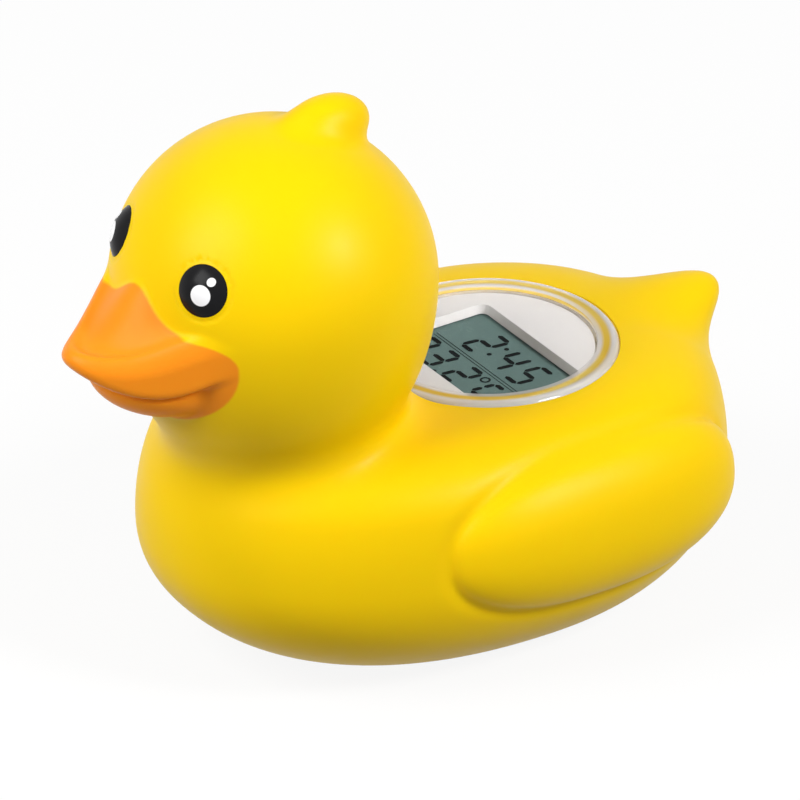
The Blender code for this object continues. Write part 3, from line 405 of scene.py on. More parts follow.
def eye_black():
    """Gloss black with white spots, by the distance to the edge of the spots."""
    made, tree, shader = shader_material("gloss black with white spots")
    share = spread(tree, attribute(tree, "spot"), -SPOT_SOFTNESS, SPOT_SOFTNESS)
    black = mixed(tree, noise(tree, 600.0), (0.006, 0.006, 0.007), (0.012, 0.012, 0.013))
    colour(tree, shader, mixed(tree, share, (0.93, 0.93, 0.94), black))
    roughness(tree, shader, 900.0, 0.20, 0.28, ends=(0.0, 1.0))
    shine(shader, 0.08)
    return made


def clear_plastic_with_painted_bands():
    """Clear web inside a partly milky rim with painted bands: painted light, the painted
    refraction of the yellow vinyl, and painted light again.
    """
    made, tree, shader = shader_material("clear plastic with painted refraction")
    radius = attribute(tree, "radius")
    # painted refraction: the rim's colour goes from painted light to the vinyl's yellow, as if
    # seen through the rim, and back to painted light
    rim = mixed(tree, spread(tree, radius, *REFRACTION_START), RIM_PAINTED_LIGHT, RIM_PAINTED_REFRACTION)
    rim = mixed(tree, spread(tree, radius, *REFRACTION_END), rim, RIM_PAINTED_LIGHT)
    in_rim = spread(tree, radius, RIM_START - RIM_SOFTNESS, RIM_START + RIM_SOFTNESS)
    colour(tree, shader, mixed(tree, in_rim, WEB_CLEAR, rim))
    clearness = spread(tree, in_rim, 0.0, 1.0, 1.0, RIM_TRANSMISSION)
    tree.links.new(clearness, shader.inputs["Transmission Weight"])
    shader.inputs["IOR"].default_value = CLEAR_IOR
    roughness(tree, shader, 500.0, 0.0, 0.008, ends=(0.0, 1.0))
    return made


def plastic(name, tone, rough, gloss=0.5):
    """Moulded plastic or rubber with a fine eroded grain."""
    made, tree, shader = shader_material(name)
    shine(shader, gloss)
    darker = tuple(0.95 * part for part in tone)
    colour(tree, shader, mixed(tree, noise(tree, 120.0), darker, tone))
    roughness(tree, shader, 700.0, rough - 0.04, rough + 0.04)
    grain(tree, shader, 3000.0, 0.000010)
    return made


def display_back():
    """Grey-green display ground."""
    made, tree, shader = shader_material("display ground")
    cloud = noise(tree, 250.0, 2.0)
    colour(tree, shader, mixed(tree, cloud, (0.098, 0.152, 0.144), (0.109, 0.167, 0.158)))
    shine(shader, 0.05)
    roughness(tree, shader, 1500.0, 0.22, 0.30, ends=(0.0, 1.0))
    return made


def metal(name, tone, rough):
    made, tree, shader = shader_material(name)
    darker = tuple(0.85 * part for part in tone)
    colour(tree, shader, mixed(tree, noise(tree, 1800.0), darker, tone))
    shader.inputs["Metallic"].default_value = 1.0
    roughness(tree, shader, 1800.0, rough - 0.06, rough + 0.06, detail=4.0)
    return made


# Mesh helpers

def new_object(name, data):
    made = bpy.data.objects.new(name, data)
    bpy.context.scene.collection.objects.link(made)
    return made


def settle(piece, finish, smooth_angle=35):
    """Gives the piece its finish, shading and body."""
    mesh = piece.data
    mesh.materials.clear()
    mesh.materials.append(finish)
    if smooth_angle:
        mesh.shade_smooth()
        mesh.set_sharp_from_angle(angle=math.radians(smooth_angle))
    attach(piece, "root")


def mesh_from(name, shape):
    mesh = bpy.data.meshes.new(name)
    shape.to_mesh(mesh)
    shape.free()
    return mesh


def points_of(mesh):
    flat = np.empty(len(mesh.vertices) * 3)
    mesh.vertices.foreach_get("co", flat)
    return flat.reshape(-1, 3)


def set_attribute(mesh, name, values):
    layer = mesh.attributes.new(name, "FLOAT", "POINT")
    layer.data.foreach_set("value", np.asarray(values, np.float32))


def band(shape, low, high):
    """Faces between two rings, either of which may be one point repeated."""
    for number in range(len(low)):
        after = (number + 1) % len(low)
        corners = [low[number], low[after], high[after], high[number]]
        shape.faces.new(list(dict.fromkeys(corners)))


def stack(shape, levels):
    """Closed body through outlines given with their heights, from the bottom up."""
    rings = [[shape.verts.new((x, y, height)) for x, y in outline] for outline, height in levels]
    for low, high in zip(rings, rings[1:]):
        band(shape, low, high)
    shape.faces.new(rings[0][::-1])
    shape.faces.new(rings[-1])


def circle(x, y, radius, points=24):
    turns = [2 * math.pi * number / points for number in range(points)]
    return [(x + radius * math.cos(turn), y + radius * math.sin(turn)) for turn in turns]


def turned_mesh(name, profile, centre=(0.0, 0.0), steps=ROUND_STEPS):
    """Mesh turned about a vertical axis from (radius, height) points, up the outer side.

    A profile that starts off the axis is closed from its last point to its first.
    """
    shape = bmesh.new()
    rings = []
    for radius, height in profile:
        if radius == 0.0:
            rings.append([shape.verts.new((*centre, height))] * steps)
        else:
            outline = circle(*centre, radius, steps)
            rings.append([shape.verts.new((x, y, height)) for x, y in outline])
    pairs = list(zip(rings, rings[1:]))
    if profile[0][0] > 0.0:
        pairs.append((rings[-1], rings[0]))
    for low, high in pairs:
        band(shape, low, high)
    return mesh_from(name, shape)


def arc(centre, radius, start, end, points):
    """Points along an arc, angles in degrees."""
    made = []
    for number in range(points):
        angle = math.radians(start + (end - start) * number / (points - 1))
        x = centre[0] + radius * math.cos(angle)
        y = centre[1] + radius * math.sin(angle)
        made.append((x, y))
    return made


def rounded(corners, radius, points=5):
    """The profile with its inner corners rounded off."""
    made = [corners[0]]
    for before, corner, after in zip(corners, corners[1:], corners[2:]):
        here = Vector(corner)
        back = Vector(before) - here
        on = Vector(after) - here
        reach = min(radius, back.length / 2, on.length / 2)
        start = here + back.normalized() * reach
        end = here + on.normalized() * reach
        for number in range(points):
            share = number / (points - 1)
            rest = 1 - share
            made.append(tuple(start * rest**2 + here * 2 * share * rest + end * share**2))
    made.append(corners[-1])
    return made


def disc_mesh(name, radius, bottom, top, centre=(0.0, 0.0), steps=ROUND_STEPS):
    profile = [(0.0, bottom), (radius, bottom), (radius, top), (0.0, top)]
    return turned_mesh(name, profile, centre, steps)


def box_mesh(name, low, high):
    shape = bmesh.new()
    bmesh.ops.create_cube(shape, size=1.0)
    middle = (Vector(high) + Vector(low)) / 2
    size = Vector(high) - Vector(low)
    place = Matrix.Translation(middle) @ Matrix.Diagonal((*size, 1.0))
    bmesh.ops.transform(shape, matrix=place, verts=shape.verts)
    return mesh_from(name, shape)


def cut_all(piece, tools):
    """Cuts the tools from the piece, applies the cuts and removes the tools."""
    for tool in tools:
        modifier = piece.modifiers.new(tool.name, "BOOLEAN")
        modifier.operation = "DIFFERENCE"
        modifier.object = tool
    graph = bpy.context.evaluated_depsgraph_get()
    mesh = bpy.data.meshes.new_from_object(piece.evaluated_get(graph))
    piece.modifiers.clear()
    piece.data = mesh
    for tool in tools:
        bpy.data.objects.remove(tool, do_unlink=True)


# Form of the moulding, as a distance that is below 0 inside it

def smooth_union(a, b, blend):
    share = np.clip(0.5 + 0.5 * (b - a) / blend, 0.0, 1.0)
    return b + (a - b) * share - blend * share * (1.0 - share)


def smooth_overlap(a, b, blend):
    return -smooth_union(-a, -b, blend)


def bell(level, width):
    """1 where the level is 0, and falling off within about the width."""
    return np.exp(-((level / width) ** 2))


def seen_from(points, centre, turn):
    matrix = Euler([math.radians(angle) for angle in turn]).to_matrix()
    return (points - np.array(centre)) @ np.array(matrix)


def lobe(offset, half, power=2.0):
    """About the distance to an ellipsoid, from points given about its centre."""
    share = np.abs(offset) / half
    reach = np.power(np.power(share, power).sum(-1), 1.0 / power)
    slope = np.sqrt(((offset / half**2) ** 2).sum(-1))
    return reach * (reach - 1.0) / np.maximum(slope, 1e-6)


def two_sided(value, below, above):
    return np.where(value < 0.0, below, above)


def body_form(points):
    offset = points - np.array(BODY_CENTRE)
    half = np.stack(
        [
            np.full(offset.shape[:-1], BODY_HALF_WIDTH),
            two_sided(offset[..., 1], BODY_FRONT, BODY_REAR),
            two_sided(offset[..., 2], BODY_BELOW, BODY_ABOVE),
        ],
        -1,
    )
    form = lobe(offset, half, BODY_POWER)
    form = smooth_overlap(form, points[..., 2] - BACK_HEIGHT, BACK_BLEND)
    return smooth_overlap(form, -points[..., 2] - BASE_TRIM, BASE_BLEND)


def head_form(points):
    offset = points - np.array(HEAD_CENTRE)
    sides = np.full(offset.shape[:-1], HEAD_RADIUS)
    half = np.stack([sides, sides, two_sided(offset[..., 2], NECK_DEPTH, HEAD_RADIUS)], -1)
    return lobe(offset, half)


def wing_form(points):
    mirrored = np.stack([np.abs(points[..., 0]), points[..., 1], points[..., 2]], -1)
    return lobe(seen_from(mirrored, WING_CENTRE, WING_TURN), np.array(WING_HALF), WING_POWER)


def mouth_height(y):
    return MOUTH_HEIGHT + MOUTH_SMILE * (y + MOUTH_LOWEST) ** 2


def upper_bill(offset):
    x = np.abs(offset[..., 0])
    y = offset[..., 1]
    z = offset[..., 2]
    behind = np.maximum(y + BILL_TIP, 0.0)
    level = x**2 - 2 * BILL_TIP_RADIUS * (y + BILL_TIP) - (BILL_FLARE * behind) ** 2
    outline = level / (2 * np.sqrt(x**2 + (BILL_TIP_RADIUS + BILL_FLARE**2 * behind) ** 2))
    root = np.sqrt(np.maximum(HEAD_RADIUS**2 - x**2 - z**2, 0.0))
    rise = BILL_ROOT_RISE + BILL_RIDGE_RISE * bell(x, BILL_RIDGE_WIDTH)
    rise = rise * np.exp(-((np.maximum(-y - root, 0.0) / BILL_FALL) ** BILL_FALL_POWER))
    rim = BILL_RIM_RISE * bell(outline + BILL_RIM_INSET, BILL_RIM_WIDTH)
    curl = BILL_CURL * np.maximum(-y - BILL_CURL_START, 0.0) ** 2
    top = BILL_TOP + rise + rim + curl
    form = smooth_overlap(outline, z - top, BILL_ROUND)
    form = smooth_overlap(form, mouth_height(y) - z, BILL_ROUND)
    return np.maximum(form, y)


def lower_bill(offset):
    form = lobe(offset - np.array(CHIN_CENTRE), np.array(CHIN_HALF))
    above = offset[..., 2] - mouth_height(offset[..., 1]) - CHIN_BLEND
    return smooth_overlap(form, above, CHIN_BLEND)


def eye_axis(side):
    return Vector((side * EYE_PLACE[0], EYE_PLACE[1], EYE_PLACE[2])).normalized()


def eye_ring(offset):
    """Depth of the shallow ring pressed round each eye."""
    total = np.zeros(offset.shape[:-1])
    for side in (1, -1):
        axis = np.array(eye_axis(side))
        along = offset @ axis
        across = np.sqrt(np.maximum((offset**2).sum(-1) - along**2, 0.0))
        ring = RING_DEPTH * bell(across - RING_RADIUS, RING_WIDTH)
        total += np.where(along > 0.0, ring, 0.0)
    return total


def duck_form(points):
    """About the distance to the outside of the moulding, below 0 inside it."""
    offset = points - np.array(HEAD_CENTRE)
    y = offset[..., 1]
    form = smooth_union(body_form(points), head_form(points), NECK_BLEND)
    tail = lobe(seen_from(points, TAIL_CENTRE, TAIL_TURN), np.array(TAIL_HALF))
    form = smooth_union(form, tail, TAIL_BLEND)
    tuft = lobe(seen_from(points, TUFT_CENTRE, TUFT_TURN), np.array(TUFT_HALF))
    form = smooth_union(form, tuft, TUFT_BLEND)
    wing = wing_form(points)
    crease = WING_CREASE_DEPTH * bell(wing - form, WING_CREASE_WIDTH)
    form = smooth_union(form, wing, WING_BLEND) + crease
    on_bill = np.clip((form - MOUTH_CREASE_START) / MOUTH_CREASE_REACH, 0.0, 1.0) * (y < 0.0)
    form = smooth_union(form, lower_bill(offset), BILL_ROOT_BLEND)
    form = smooth_union(form, upper_bill(offset), BILL_ROOT_BLEND)
    mouth = MOUTH_CREASE_DEPTH * bell(offset[..., 2] - mouth_height(y), MOUTH_CREASE_WIDTH)
    return form + mouth * on_bill + eye_ring(offset)


def hollow_form(points):
    return smooth_union(body_form(points), head_form(points), NECK_BLEND) + WALL


def slope_of(form, points):
    """Gradient of the form at each point."""
    slope = np.empty_like(points)
    for axis in range(3):
        step = np.zeros(3)
        step[axis] = SLOPE_STEP
        slope[:, axis] = (form(points + step) - form(points - step)) / (2 * SLOPE_STEP)
    return slope


def onto_form(form, points, rounds):
    """Moves the points onto the surface where the form is 0."""
    for _ in range(rounds):
        slope = slope_of(form, points)
        length = np.maximum((slope**2).sum(-1), LEAST_SLOPE)
        points = points - (form(points) / length)[:, None] * slope
    return points


def form_faces(form, low, high, cell):
    """Points and four-sided faces round the space where the form is below 0."""
    low = np.array(low)
    counts = np.ceil((np.array(high) - low) / cell).astype(int) + 1
    axes = [low[axis] + cell * np.arange(counts[axis]) for axis in range(3)]
    inside = np.empty(tuple(counts), bool)
    for number, x in enumerate(axes[0]):
        sheet = np.stack(np.meshgrid([x], axes[1], axes[2], indexing="ij"), -1)
        inside[number] = form(sheet)[0] < 0.0
    first = inside[:-1, :-1, :-1]
    wide, deep, tall = first.shape
    on_edge = np.zeros(first.shape, bool)
    for i in (0, 1):
        for j in (0, 1):
            for k in (0, 1):
                on_edge |= inside[i : i + wide, j : j + deep, k : k + tall] != first
    number = np.full(on_edge.shape, -1)
    number[on_edge] = np.arange(on_edge.sum())
    points = low + cell * (np.argwhere(on_edge) + 0.5)
    faces = []
    sides = np.eye(3, dtype=int)
    for axis in range(3):
        lower = np.take(inside, np.arange(counts[axis] - 1), axis)
        upper = np.take(inside, np.arange(1, counts[axis]), axis)
        edges = np.argwhere(lower != upper)
        one, two = np.roll(np.arange(3), -axis)[1:]
        quads = []
        for back_one, back_two in ((0, 0), (1, 0), (1, 1), (0, 1)):
            cells = edges - back_one * sides[one] - back_two * sides[two]
            quads.append(number[tuple(cells.T)])
        quads = np.stack(quads, -1)
        outward = lower[tuple(edges.T)]
        quads[~outward] = quads[~outward][:, ::-1]
        faces.append(quads)
    return points, np.concatenate(faces)


def even_out(form, points, faces, rounds):
    """Spreads the points evenly over the surface."""
    for _ in range(rounds):
        total = np.zeros_like(points)
        count = np.zeros(len(points))
        for start, end in ((0, 1), (1, 2), (2, 3), (3, 0)):
            for a, b in ((start, end), (end, start)):
                np.add.at(total, faces[:, a], points[faces[:, b]])
                np.add.at(count, faces[:, a], 1.0)
        points = 0.5 * points + 0.5 * total / count[:, None]
        points = onto_form(form, points, 1)
    return points


def form_mesh(name, form, cell):
    side = WING_CENTRE[0] + WING_HALF[0] + FORM_MARGIN
    front = HEAD_CENTRE[1] - BILL_TIP - FORM_MARGIN
    rear = TAIL_CENTRE[1] + TAIL_HALF[1] + FORM_MARGIN
    bottom = -BASE_TRIM - FORM_MARGIN
    top = TUFT_CENTRE[2] + TUFT_HALF[2] + FORM_MARGIN
    points, faces = form_faces(form, (-side, front, bottom), (side, rear, top), cell)
    points = onto_form(form, points, ONTO_ROUNDS)
    points = even_out(form, points, faces, EVEN_ROUNDS)
    points = onto_form(form, points, LAST_ROUNDS)
    mesh = bpy.data.meshes.new(name)
    mesh.from_pydata(points.tolist(), [], faces.tolist())
    return mesh


def refine(mesh, form, wanted):
    """Splits the faces whose middle is wanted, and moves the new points onto the form."""
    shape = bmesh.new()
    shape.from_mesh(mesh)
    edges = set()
    for face in shape.faces:
        if wanted(face.calc_center_median()):
            edges.update(face.edges)
    bmesh.ops.subdivide_edges(shape, edges=list(edges), cuts=1, use_grid_fill=True)
    shape.to_mesh(mesh)
    shape.free()
    points = onto_form(form, points_of(mesh), LAST_ROUNDS)
    mesh.vertices.foreach_set("co", points.ravel())


def near_beak(place):
    x, y, z = place - Vector(HEAD_CENTRE)
    return y < FINE_REAR and FINE_LOW < z < FINE_HIGH and abs(x) < FINE_HALF_WIDTH


def paint_level(x, z):
    """Below 1 inside the paint's outline, which has flat shoulders and a peak above."""
    across = np.abs(x) / PAINT_HALF_WIDTH
    peak = PAINT_TOP + PAINT_PEAK * bell(x, PAINT_PEAK_WIDTH)
    upper = across**PAINT_SHOULDER_POWER + ((z - PAINT_MIDDLE) / (peak - PAINT_MIDDLE)) ** 2
    lower = across**2 + ((z - PAINT_MIDDLE) / (PAINT_BOTTOM - PAINT_MIDDLE)) ** 2
    return np.sqrt(np.where(z > PAINT_MIDDLE, upper, lower))


def paint_distance(points):
    """About the distance to the edge of the orange paint in millimetres, below 0 inside it."""
    x, y, z = (points - np.array(HEAD_CENTRE)).T
    step = SLOPE_STEP
    across = (paint_level(x + step, z) - paint_level(x - step, z)) / (2 * step)
    along = (paint_level(x, z + step) - paint_level(x, z - step)) / (2 * step)
    distance = (paint_level(x, z) - 1.0) / np.maximum(np.hypot(across, along), 1.0) / MM
    return np.where(y < 0.0, distance, FAR)


def set_normals(mesh, form):
    """Takes the shading of the outside from the form itself, and leaves cut faces flat."""
    points = points_of(mesh)
    slope = slope_of(form, points)
    slope /= np.maximum(np.linalg.norm(slope, axis=1), 1e-9)[:, None]
    on_form = np.abs(form(points)) < ON_FORM
    normals = np.empty((len(mesh.loops), 3))
    for face in mesh.polygons:
        corners = np.array(face.vertices)
        flat = np.array(face.normal)
        loops = np.arange(face.loop_start, face.loop_start + face.loop_total)
        outer = on_form[corners].all() and (slope[corners] @ flat > FACING).all()
        normals[loops] = slope[corners] if outer else flat
    mesh.normals_split_custom_set(normals.tolist())


def eye_turn(side):
    """Place and turn of an eye: its own +Z points out of the head and +Y up."""
    out = eye_axis(side)
    place = Vector(HEAD_CENTRE) + out * HEAD_RADIUS
    return Matrix.Translation(place) @ out.to_track_quat("Z", "Y").to_matrix().to_4x4()


def skin(finish):
    """The moulding, hollow and open for what passes through it."""
    mesh = form_mesh("duck_skin", duck_form, SKIN_CELL)
    refine(mesh, duck_form, near_beak)
    piece = new_object("duck_skin", mesh)
    room = (case_high.x - case_low.x) / 2 + GAP
    foot_room = (door_high.x - door_low.x) / 2 + 4 * GAP
    opening = COVER_RADIUS + GAP / 3
    tip = (0.0, (tip_low.y + tip_high.y) / 2)
    below = (-UNDER_REACH, -UNDER_REACH, -UNDER_DEPTH)
    base = (UNDER_REACH, UNDER_REACH, 0.0)
    shapes = {
        "hollow": form_mesh("hollow", hollow_form, HOLLOW_CELL),
        "under the base": box_mesh("under", below, base),
        "seat": disc_mesh("seat", room, SEAT_BOTTOM, case_high.z + GAP, WINDOW),
        "opening": disc_mesh("opening", opening, SEAT_BOTTOM, COVER_TOP + PAST, WINDOW),
        "foot": disc_mesh("foot", foot_room, -PAST, 2 * WALL, WINDOW),
        "tip": disc_mesh("tip", TIP_HOLE_RADIUS, -PAST, 2 * WALL, tip),
    }
    tools = [new_object(name, shape) for name, shape in shapes.items()]
    cuts = (
        ("socket", EYE_RADIUS + SOCKET_GAP, -SOCKET_DEPTH, PAST, SOCKET_STEPS),
        ("peg hole", EYE_PEG_RADIUS + GAP, -3 * WALL, 0.0, PEG_STEPS),
    )
    for side in (1, -1):
        for name, radius, bottom, top, steps in cuts:
            shape = disc_mesh(f"{name} {side}", radius, bottom, top, steps=steps)
            tool = new_object(f"{name} {side}", shape)
            tool.matrix_world = eye_turn(side)
            tools.append(tool)
    cut_all(piece, tools)
    piece.data.shade_smooth()
    set_normals(piece.data, duck_form)
    set_attribute(piece.data, "paint", paint_distance(points_of(piece.data)))
    settle(piece, finish, smooth_angle=0)
    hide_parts("duck_shell")


def eye(name, side, node, finish):
    """Glossy dome, with its spots mirrored from eye to eye."""
    top = EYE_HEIGHT - EYE_SINK
    bulge = (EYE_RADIUS**2 + EYE_HEIGHT**2) / (2 * EYE_HEIGHT)
    half_angle = math.degrees(math.asin(EYE_RADIUS / bulge))
    dome = arc((0.0, top - bulge), bulge, 90 - half_angle, 90, EYE_ARC_POINTS)
    seat = -SOCKET_DEPTH + GAP
    profile = [(0.0, -EYE_PEG_LENGTH), (EYE_PEG_RADIUS, -EYE_PEG_LENGTH), (EYE_PEG_RADIUS, seat)]
    profile += [(EYE_RADIUS, seat)] + dome[:-1] + [(0.0, top)]
    mesh = turned_mesh(name, profile)
    points = points_of(mesh) / MM
    level = np.full(len(points), FAR)
    for x, y, radius in (LARGE_SPOT, SMALL_SPOT):
        reach = np.hypot(points[:, 0] - side * x / MM, points[:, 1] - y / MM)
        level = np.minimum(level, reach - radius / MM)
    level = np.where(points[:, 2] < 0.0, FAR, level)
    set_attribute(mesh, "spot", level)
    mesh.transform(eye_turn(side))
    piece = new_object(name, mesh)
    settle(piece, finish)
    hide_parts(node)


# Window and display

def cover(finish):
    """Clear cover with a thick rim, which lets the lamps through to the plate."""
    inner = COVER_RADIUS - COVER_RIM
    shoulder = COVER_RADIUS - COVER_ROUND
    web = COVER_TOP - COVER_WEB
    corners = [(inner - FLAT_EDGE, web), (inner, web)]
    corners += [(inner, COVER_BOTTOM), (COVER_RADIUS, COVER_BOTTOM)]
    profile = [(0.0, web)] + rounded(corners, FLAT_EDGE / 2)
    profile += arc((shoulder, COVER_TOP - COVER_ROUND), COVER_ROUND, 0, 90, COVER_ROUND_POINTS)
    profile += [(shoulder - FLAT_EDGE, COVER_TOP), (inner, COVER_TOP), (0.0, COVER_TOP)]
    mesh = turned_mesh("clear_window", profile, WINDOW)
    points = points_of(mesh) / MM
    # the radius places the rim's painted bands of light and refracted yellow
    set_attribute(mesh, "radius", np.hypot(points[:, 0], points[:, 1] - WINDOW_Y / MM))
    piece = new_object("clear_window", mesh)
    settle(piece, finish)
    piece.visible_shadow = False
    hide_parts("clear_cover")


def rounded_rectangle(low_x, high_x, low_y, high_y, radius, points=6):
    made = []
    corners = ((high_x, low_y, -90), (high_x, high_y, 0), (low_x, high_y, 90), (low_x, low_y, 180))
    for x, y, start in corners:
        middle_x = x - math.copysign(radius, x - (low_x + high_x) / 2)
        middle_y = y - math.copysign(radius, y - (low_y + high_y) / 2)
        made += arc((middle_x, middle_y), radius, start, start + 90, points)
    return made


def plate(finish):
    """White plate with a sloping edge round the display, open where the display meets the rim."""
    top = plate_high.z
    bottom = plate_low.z
    corners = [(0.0, bottom), (PLATE_RADIUS, bottom), (PLATE_RADIUS, top), (0.0, top)]
    mesh = turned_mesh("window_plate", rounded(corners, PLATE_EDGE), WINDOW)
    piece = new_object("window_plate", mesh)
    wide = SIGHT_CHAMFER
    levels = []
    for height, grow in ((bottom - PAST, 0.0), (bottom, 0.0), (top, wide), (top + PAST, wide)):
        outline = rounded_rectangle(
            SIGHT_LEFT - grow,
            PLATE_RADIUS + PAST,
            SIGHT_FRONT - grow,
            SIGHT_REAR + grow,
            SIGHT_CORNER + grow,
        )
        levels.append(([(x, WINDOW_Y + y) for x, y in outline], height))
    shape = bmesh.new()
    stack(shape, levels)
    cut_all(piece, [new_object("sight", mesh_from("sight", shape))])
    settle(piece, finish, smooth_angle=30)
    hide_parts("face_plate")


def panel(finish):
    """Display glass inside the CAD panel's outline."""
    far = 2 * COVER_RADIUS
    bore = math.hypot(panel_high.x, panel_high.y - WINDOW_Y) + GAP / 2
    bottom = panel_low.z - PAST
    top = panel_high.z + PAST
    piece = new_object("display_panel", box_mesh("display_panel", panel_low, panel_high))
    ring = [(bore, bottom), (far, bottom), (far, top), (bore, top)]
    cut_all(piece, [new_object("corner", turned_mesh("corner", ring, WINDOW))])
    settle(piece, finish, smooth_angle=0)
    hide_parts("lcd_panel")


def bar_outline(bar, width, height):
    """Six corners of one bar, with pointed ends, from the digit's lower left corner."""
    half = STROKE / 2
    low = half
    high = height - half
    middle = height / 2
    left = half
    right = width - half
    ends = {
        "a": ((left, high), (right, high)),
        "b": ((right, middle), (right, high)),
        "c": ((right, low), (right, middle)),
        "d": ((left, low), (right, low)),
        "e": ((left, low), (left, middle)),
        "f": ((left, middle), (left, high)),
        "g": ((left, middle), (right, middle)),
    }
    start, end = (Vector(place) for place in ends[bar])
    along = (end - start).normalized()
    across = Vector((-along.y, along.x)) * half
    start = start + along * STROKE_GAP
    end = end - along * STROKE_GAP
    first = start + along * half
    last = end - along * half
    return [start, first - across, last - across, end, last + across, first + across]


def marks():
    """Outlines of all that the display shows, from the window's axis."""
    made = []
    for foot, height, width, row in ROWS:
        for character, left in row:
            for bar in BARS[character]:
                outline = bar_outline(bar, width, height)
                made.append([(left + x + SLANT * y, foot + y) for x, y in outline])
    made += [circle(x, y, DOT_RADIUS) for x, y in DOTS]
    for y in LINES:
        low = y - LINE_HALF
        high = y + LINE_HALF
        made.append([(LINE_START, low), (LINE_END, low), (LINE_END, high), (LINE_START, high)])
    outer = circle(*DEGREE_PLACE, DEGREE_RADIUS)
    inner = circle(*DEGREE_PLACE, DEGREE_BORE)
    for number in range(len(outer)):
        after = (number + 1) % len(outer)
        made.append([outer[number], outer[after], inner[after], inner[number]])
    return made


def digits(finish):
    """A time over a bath temperature, with a double line between the rows."""
    bottom = panel_high.z + INK_LIFT
    shape = bmesh.new()
    for mark in marks():
        outline = [(x, WINDOW_Y + y) for x, y in mark]
        stack(shape, ((outline, bottom), (outline, bottom + INK_HEIGHT)))
    piece = new_object("display_digits", mesh_from("display_digits", shape))
    settle(piece, finish, smooth_angle=0)


# Finish of the pieces that keep their own shape

def dress(finishes):
    for name, node in frame["nodes"].items():
        for prefix, finish in finishes:
            if name.startswith(prefix):
                node.data.materials.clear()
                node.data.materials.append(finish)
                break


# Studio

def direction(azimuth, elevation):
    a = math.radians(azimuth)
    e = math.radians(elevation)
    return Vector((math.sin(a) * math.cos(e), -math.cos(a) * math.cos(e), math.sin(e)))


def aim(thing, target, azimuth, elevation, distance, axis="-Z"):
    """Puts the thing away from the target in this direction, with its axis towards the target."""
    back = direction(azimuth, elevation)
    thing.location = Vector(target) + back * distance
    thing.rotation_mode = "QUATERNION"
    thing.rotation_quaternion = (-back).to_track_quat(axis, "Y")


def floor():
    made, tree, shader = shader_material("pale floor")
    shader.inputs["Roughness"].default_value = 0.9
    shine(shader, 0.0)
    seen = seen_directly(tree)
    colour(tree, shader, spread(tree, seen, 0.0, 1.0, FLOOR_GREY, FLOOR_WHITE))
    glow = add_node(tree, "ShaderNodeEmission")
    glow.inputs["Strength"].default_value = 1.0
    blend = add_node(tree, "ShaderNodeMixShader")
    tree.links.new(spread(tree, seen, 0.0, 1.0, 0.0, FLOOR_GLOW), blend.inputs["Fac"])
    tree.links.new(shader.outputs["BSDF"], blend.inputs[1])
    tree.links.new(glow.outputs["Emission"], blend.inputs[2])
    output = tree.nodes["Material Output"]
    tree.links.new(blend.outputs["Shader"], output.inputs["Surface"])
    shape = bmesh.new()
    bmesh.ops.create_circle(shape, cap_ends=True, segments=FLOOR_STEPS, radius=FLOOR_RADIUS)
    mesh = mesh_from("floor", shape)
    mesh.materials.append(made)
    piece = new_object("floor", mesh)
    piece.location.z = -FLOOR_GAP


def world():
    made = bpy.data.worlds.new("white room")
    made.use_nodes = True
    bpy.context.scene.world = made
    tree = made.node_tree
    ground = tree.nodes["Background"]
    ground.inputs["Color"].default_value = (1.0, 1.0, 1.0, 1.0)
    strength = spread(tree, seen_directly(tree), 0.0, 1.0, ROOM_LIGHT, 1.0)
    tree.links.new(strength, ground.inputs["Strength"])


def card():
    """Dark card behind the duck, which the window shows as a dark reflection."""
    made, tree, shader = shader_material("dark card")
    shader.inputs["Base Color"].default_value = (0.03, 0.03, 0.03, 1.0)
    shader.inputs["Roughness"].default_value = 1.0
    shine(shader, 0.0)
    half = CARD_SIZE / 2
    mesh = bpy.data.meshes.new("dark_card")
    corners = [(-half, -half, 0), (half, -half, 0), (half, half, 0), (-half, half, 0)]
    mesh.from_pydata(corners, [], [(0, 1, 2, 3)])
    mesh.materials.append(made)
    piece = new_object("dark_card", mesh)
    window = (*WINDOW, COVER_TOP)
    aim(piece, window, CARD_AZIMUTH, CARD_ELEVATION, CARD_DISTANCE, axis="Z")
    piece.visible_camera = False
    piece.visible_diffuse = False
    piece.visible_shadow = False


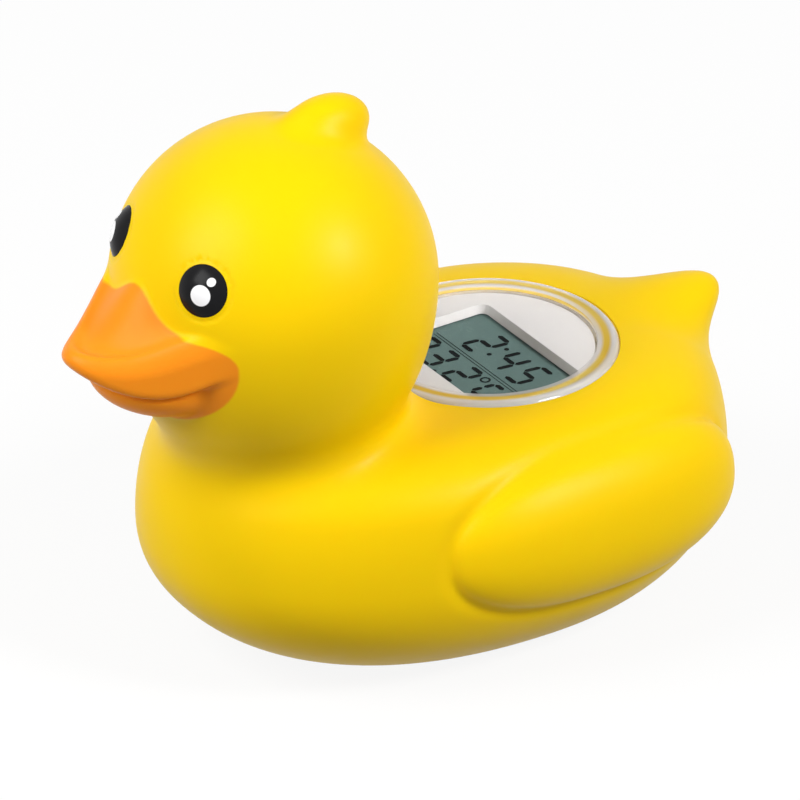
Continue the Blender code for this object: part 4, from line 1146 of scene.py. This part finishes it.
def lamp(name, azimuth, elevation, size, power):
    """Square soft light that looks at the duck."""
    data = bpy.data.lights.new(name, "AREA")
    data.shape = "SQUARE"
    data.size = size
    data.energy = power
    aim(new_object(name, data), CAMERA_TARGET, azimuth, elevation, LAMP_DISTANCE)


def camera():
    data = bpy.data.cameras.new("camera")
    data.type = "ORTHO"
    data.ortho_scale = FRAME_WIDTH
    data.clip_start = CLIP_START
    data.clip_end = CLIP_END
    made = new_object("camera", data)
    aim(made, CAMERA_TARGET, CAMERA_AZIMUTH, CAMERA_ELEVATION, CAMERA_DISTANCE)
    bpy.context.scene.camera = made


def studio():
    bpy.context.scene.view_settings.view_transform = "Standard"
    floor()
    world()
    card()
    for settings in LAMPS:
        lamp(*settings)
    camera()


def main():
    white = plastic("white plastic", (0.78, 0.76, 0.74), 0.35)
    rubber = plastic("black rubber", (0.03, 0.03, 0.03), 0.6)
    steel = metal("steel", (0.62, 0.62, 0.62), 0.28)
    nickel = metal("nickel", (0.66, 0.63, 0.56), 0.3)
    skin(vinyl())
    black = eye_black()
    eye("left_eye_dome", 1, "left_eye", black)
    eye("right_eye_dome", -1, "right_eye", black)
    cover(clear_plastic_with_painted_bands())
    plate(plastic("plate white", (0.59, 0.565, 0.555), 0.35, gloss=0.2))
    panel(display_back())
    digits(plastic("display ink", (0.006, 0.007, 0.008), 0.5, gloss=0.02))
    dress(
        (
            ("cover_seal", plastic("clear silicone", (0.80, 0.80, 0.78), 0.4)),
            ("circuit_board", plastic("green lacquer", (0.01, 0.10, 0.03), 0.35)),
            ("controller_chip", plastic("potting", (0.012, 0.012, 0.012), 0.25)),
            ("thermistor", plastic("bead", (0.02, 0.015, 0.012), 0.2)),
            ("positive_lead", plastic("red insulation", (0.6, 0.02, 0.02), 0.45)),
            ("negative_lead", plastic("black insulation", (0.02, 0.02, 0.02), 0.45)),
            ("positive_contact", nickel),
            ("negative_contact", nickel),
            ("sensor_lead", nickel),
            ("sensor_seal", rubber),
            ("door_seal", rubber),
            ("zebra_strip", rubber),
            ("board_screw", steel),
            ("door_screw", steel),
            ("clock_crystal", steel),
            ("coin_cell", steel),
            ("sensor_cap", steel),
            ("module_case", white),
            ("battery_door", white),
            ("lcd_frame", white),
        )
    )
    studio()


main()
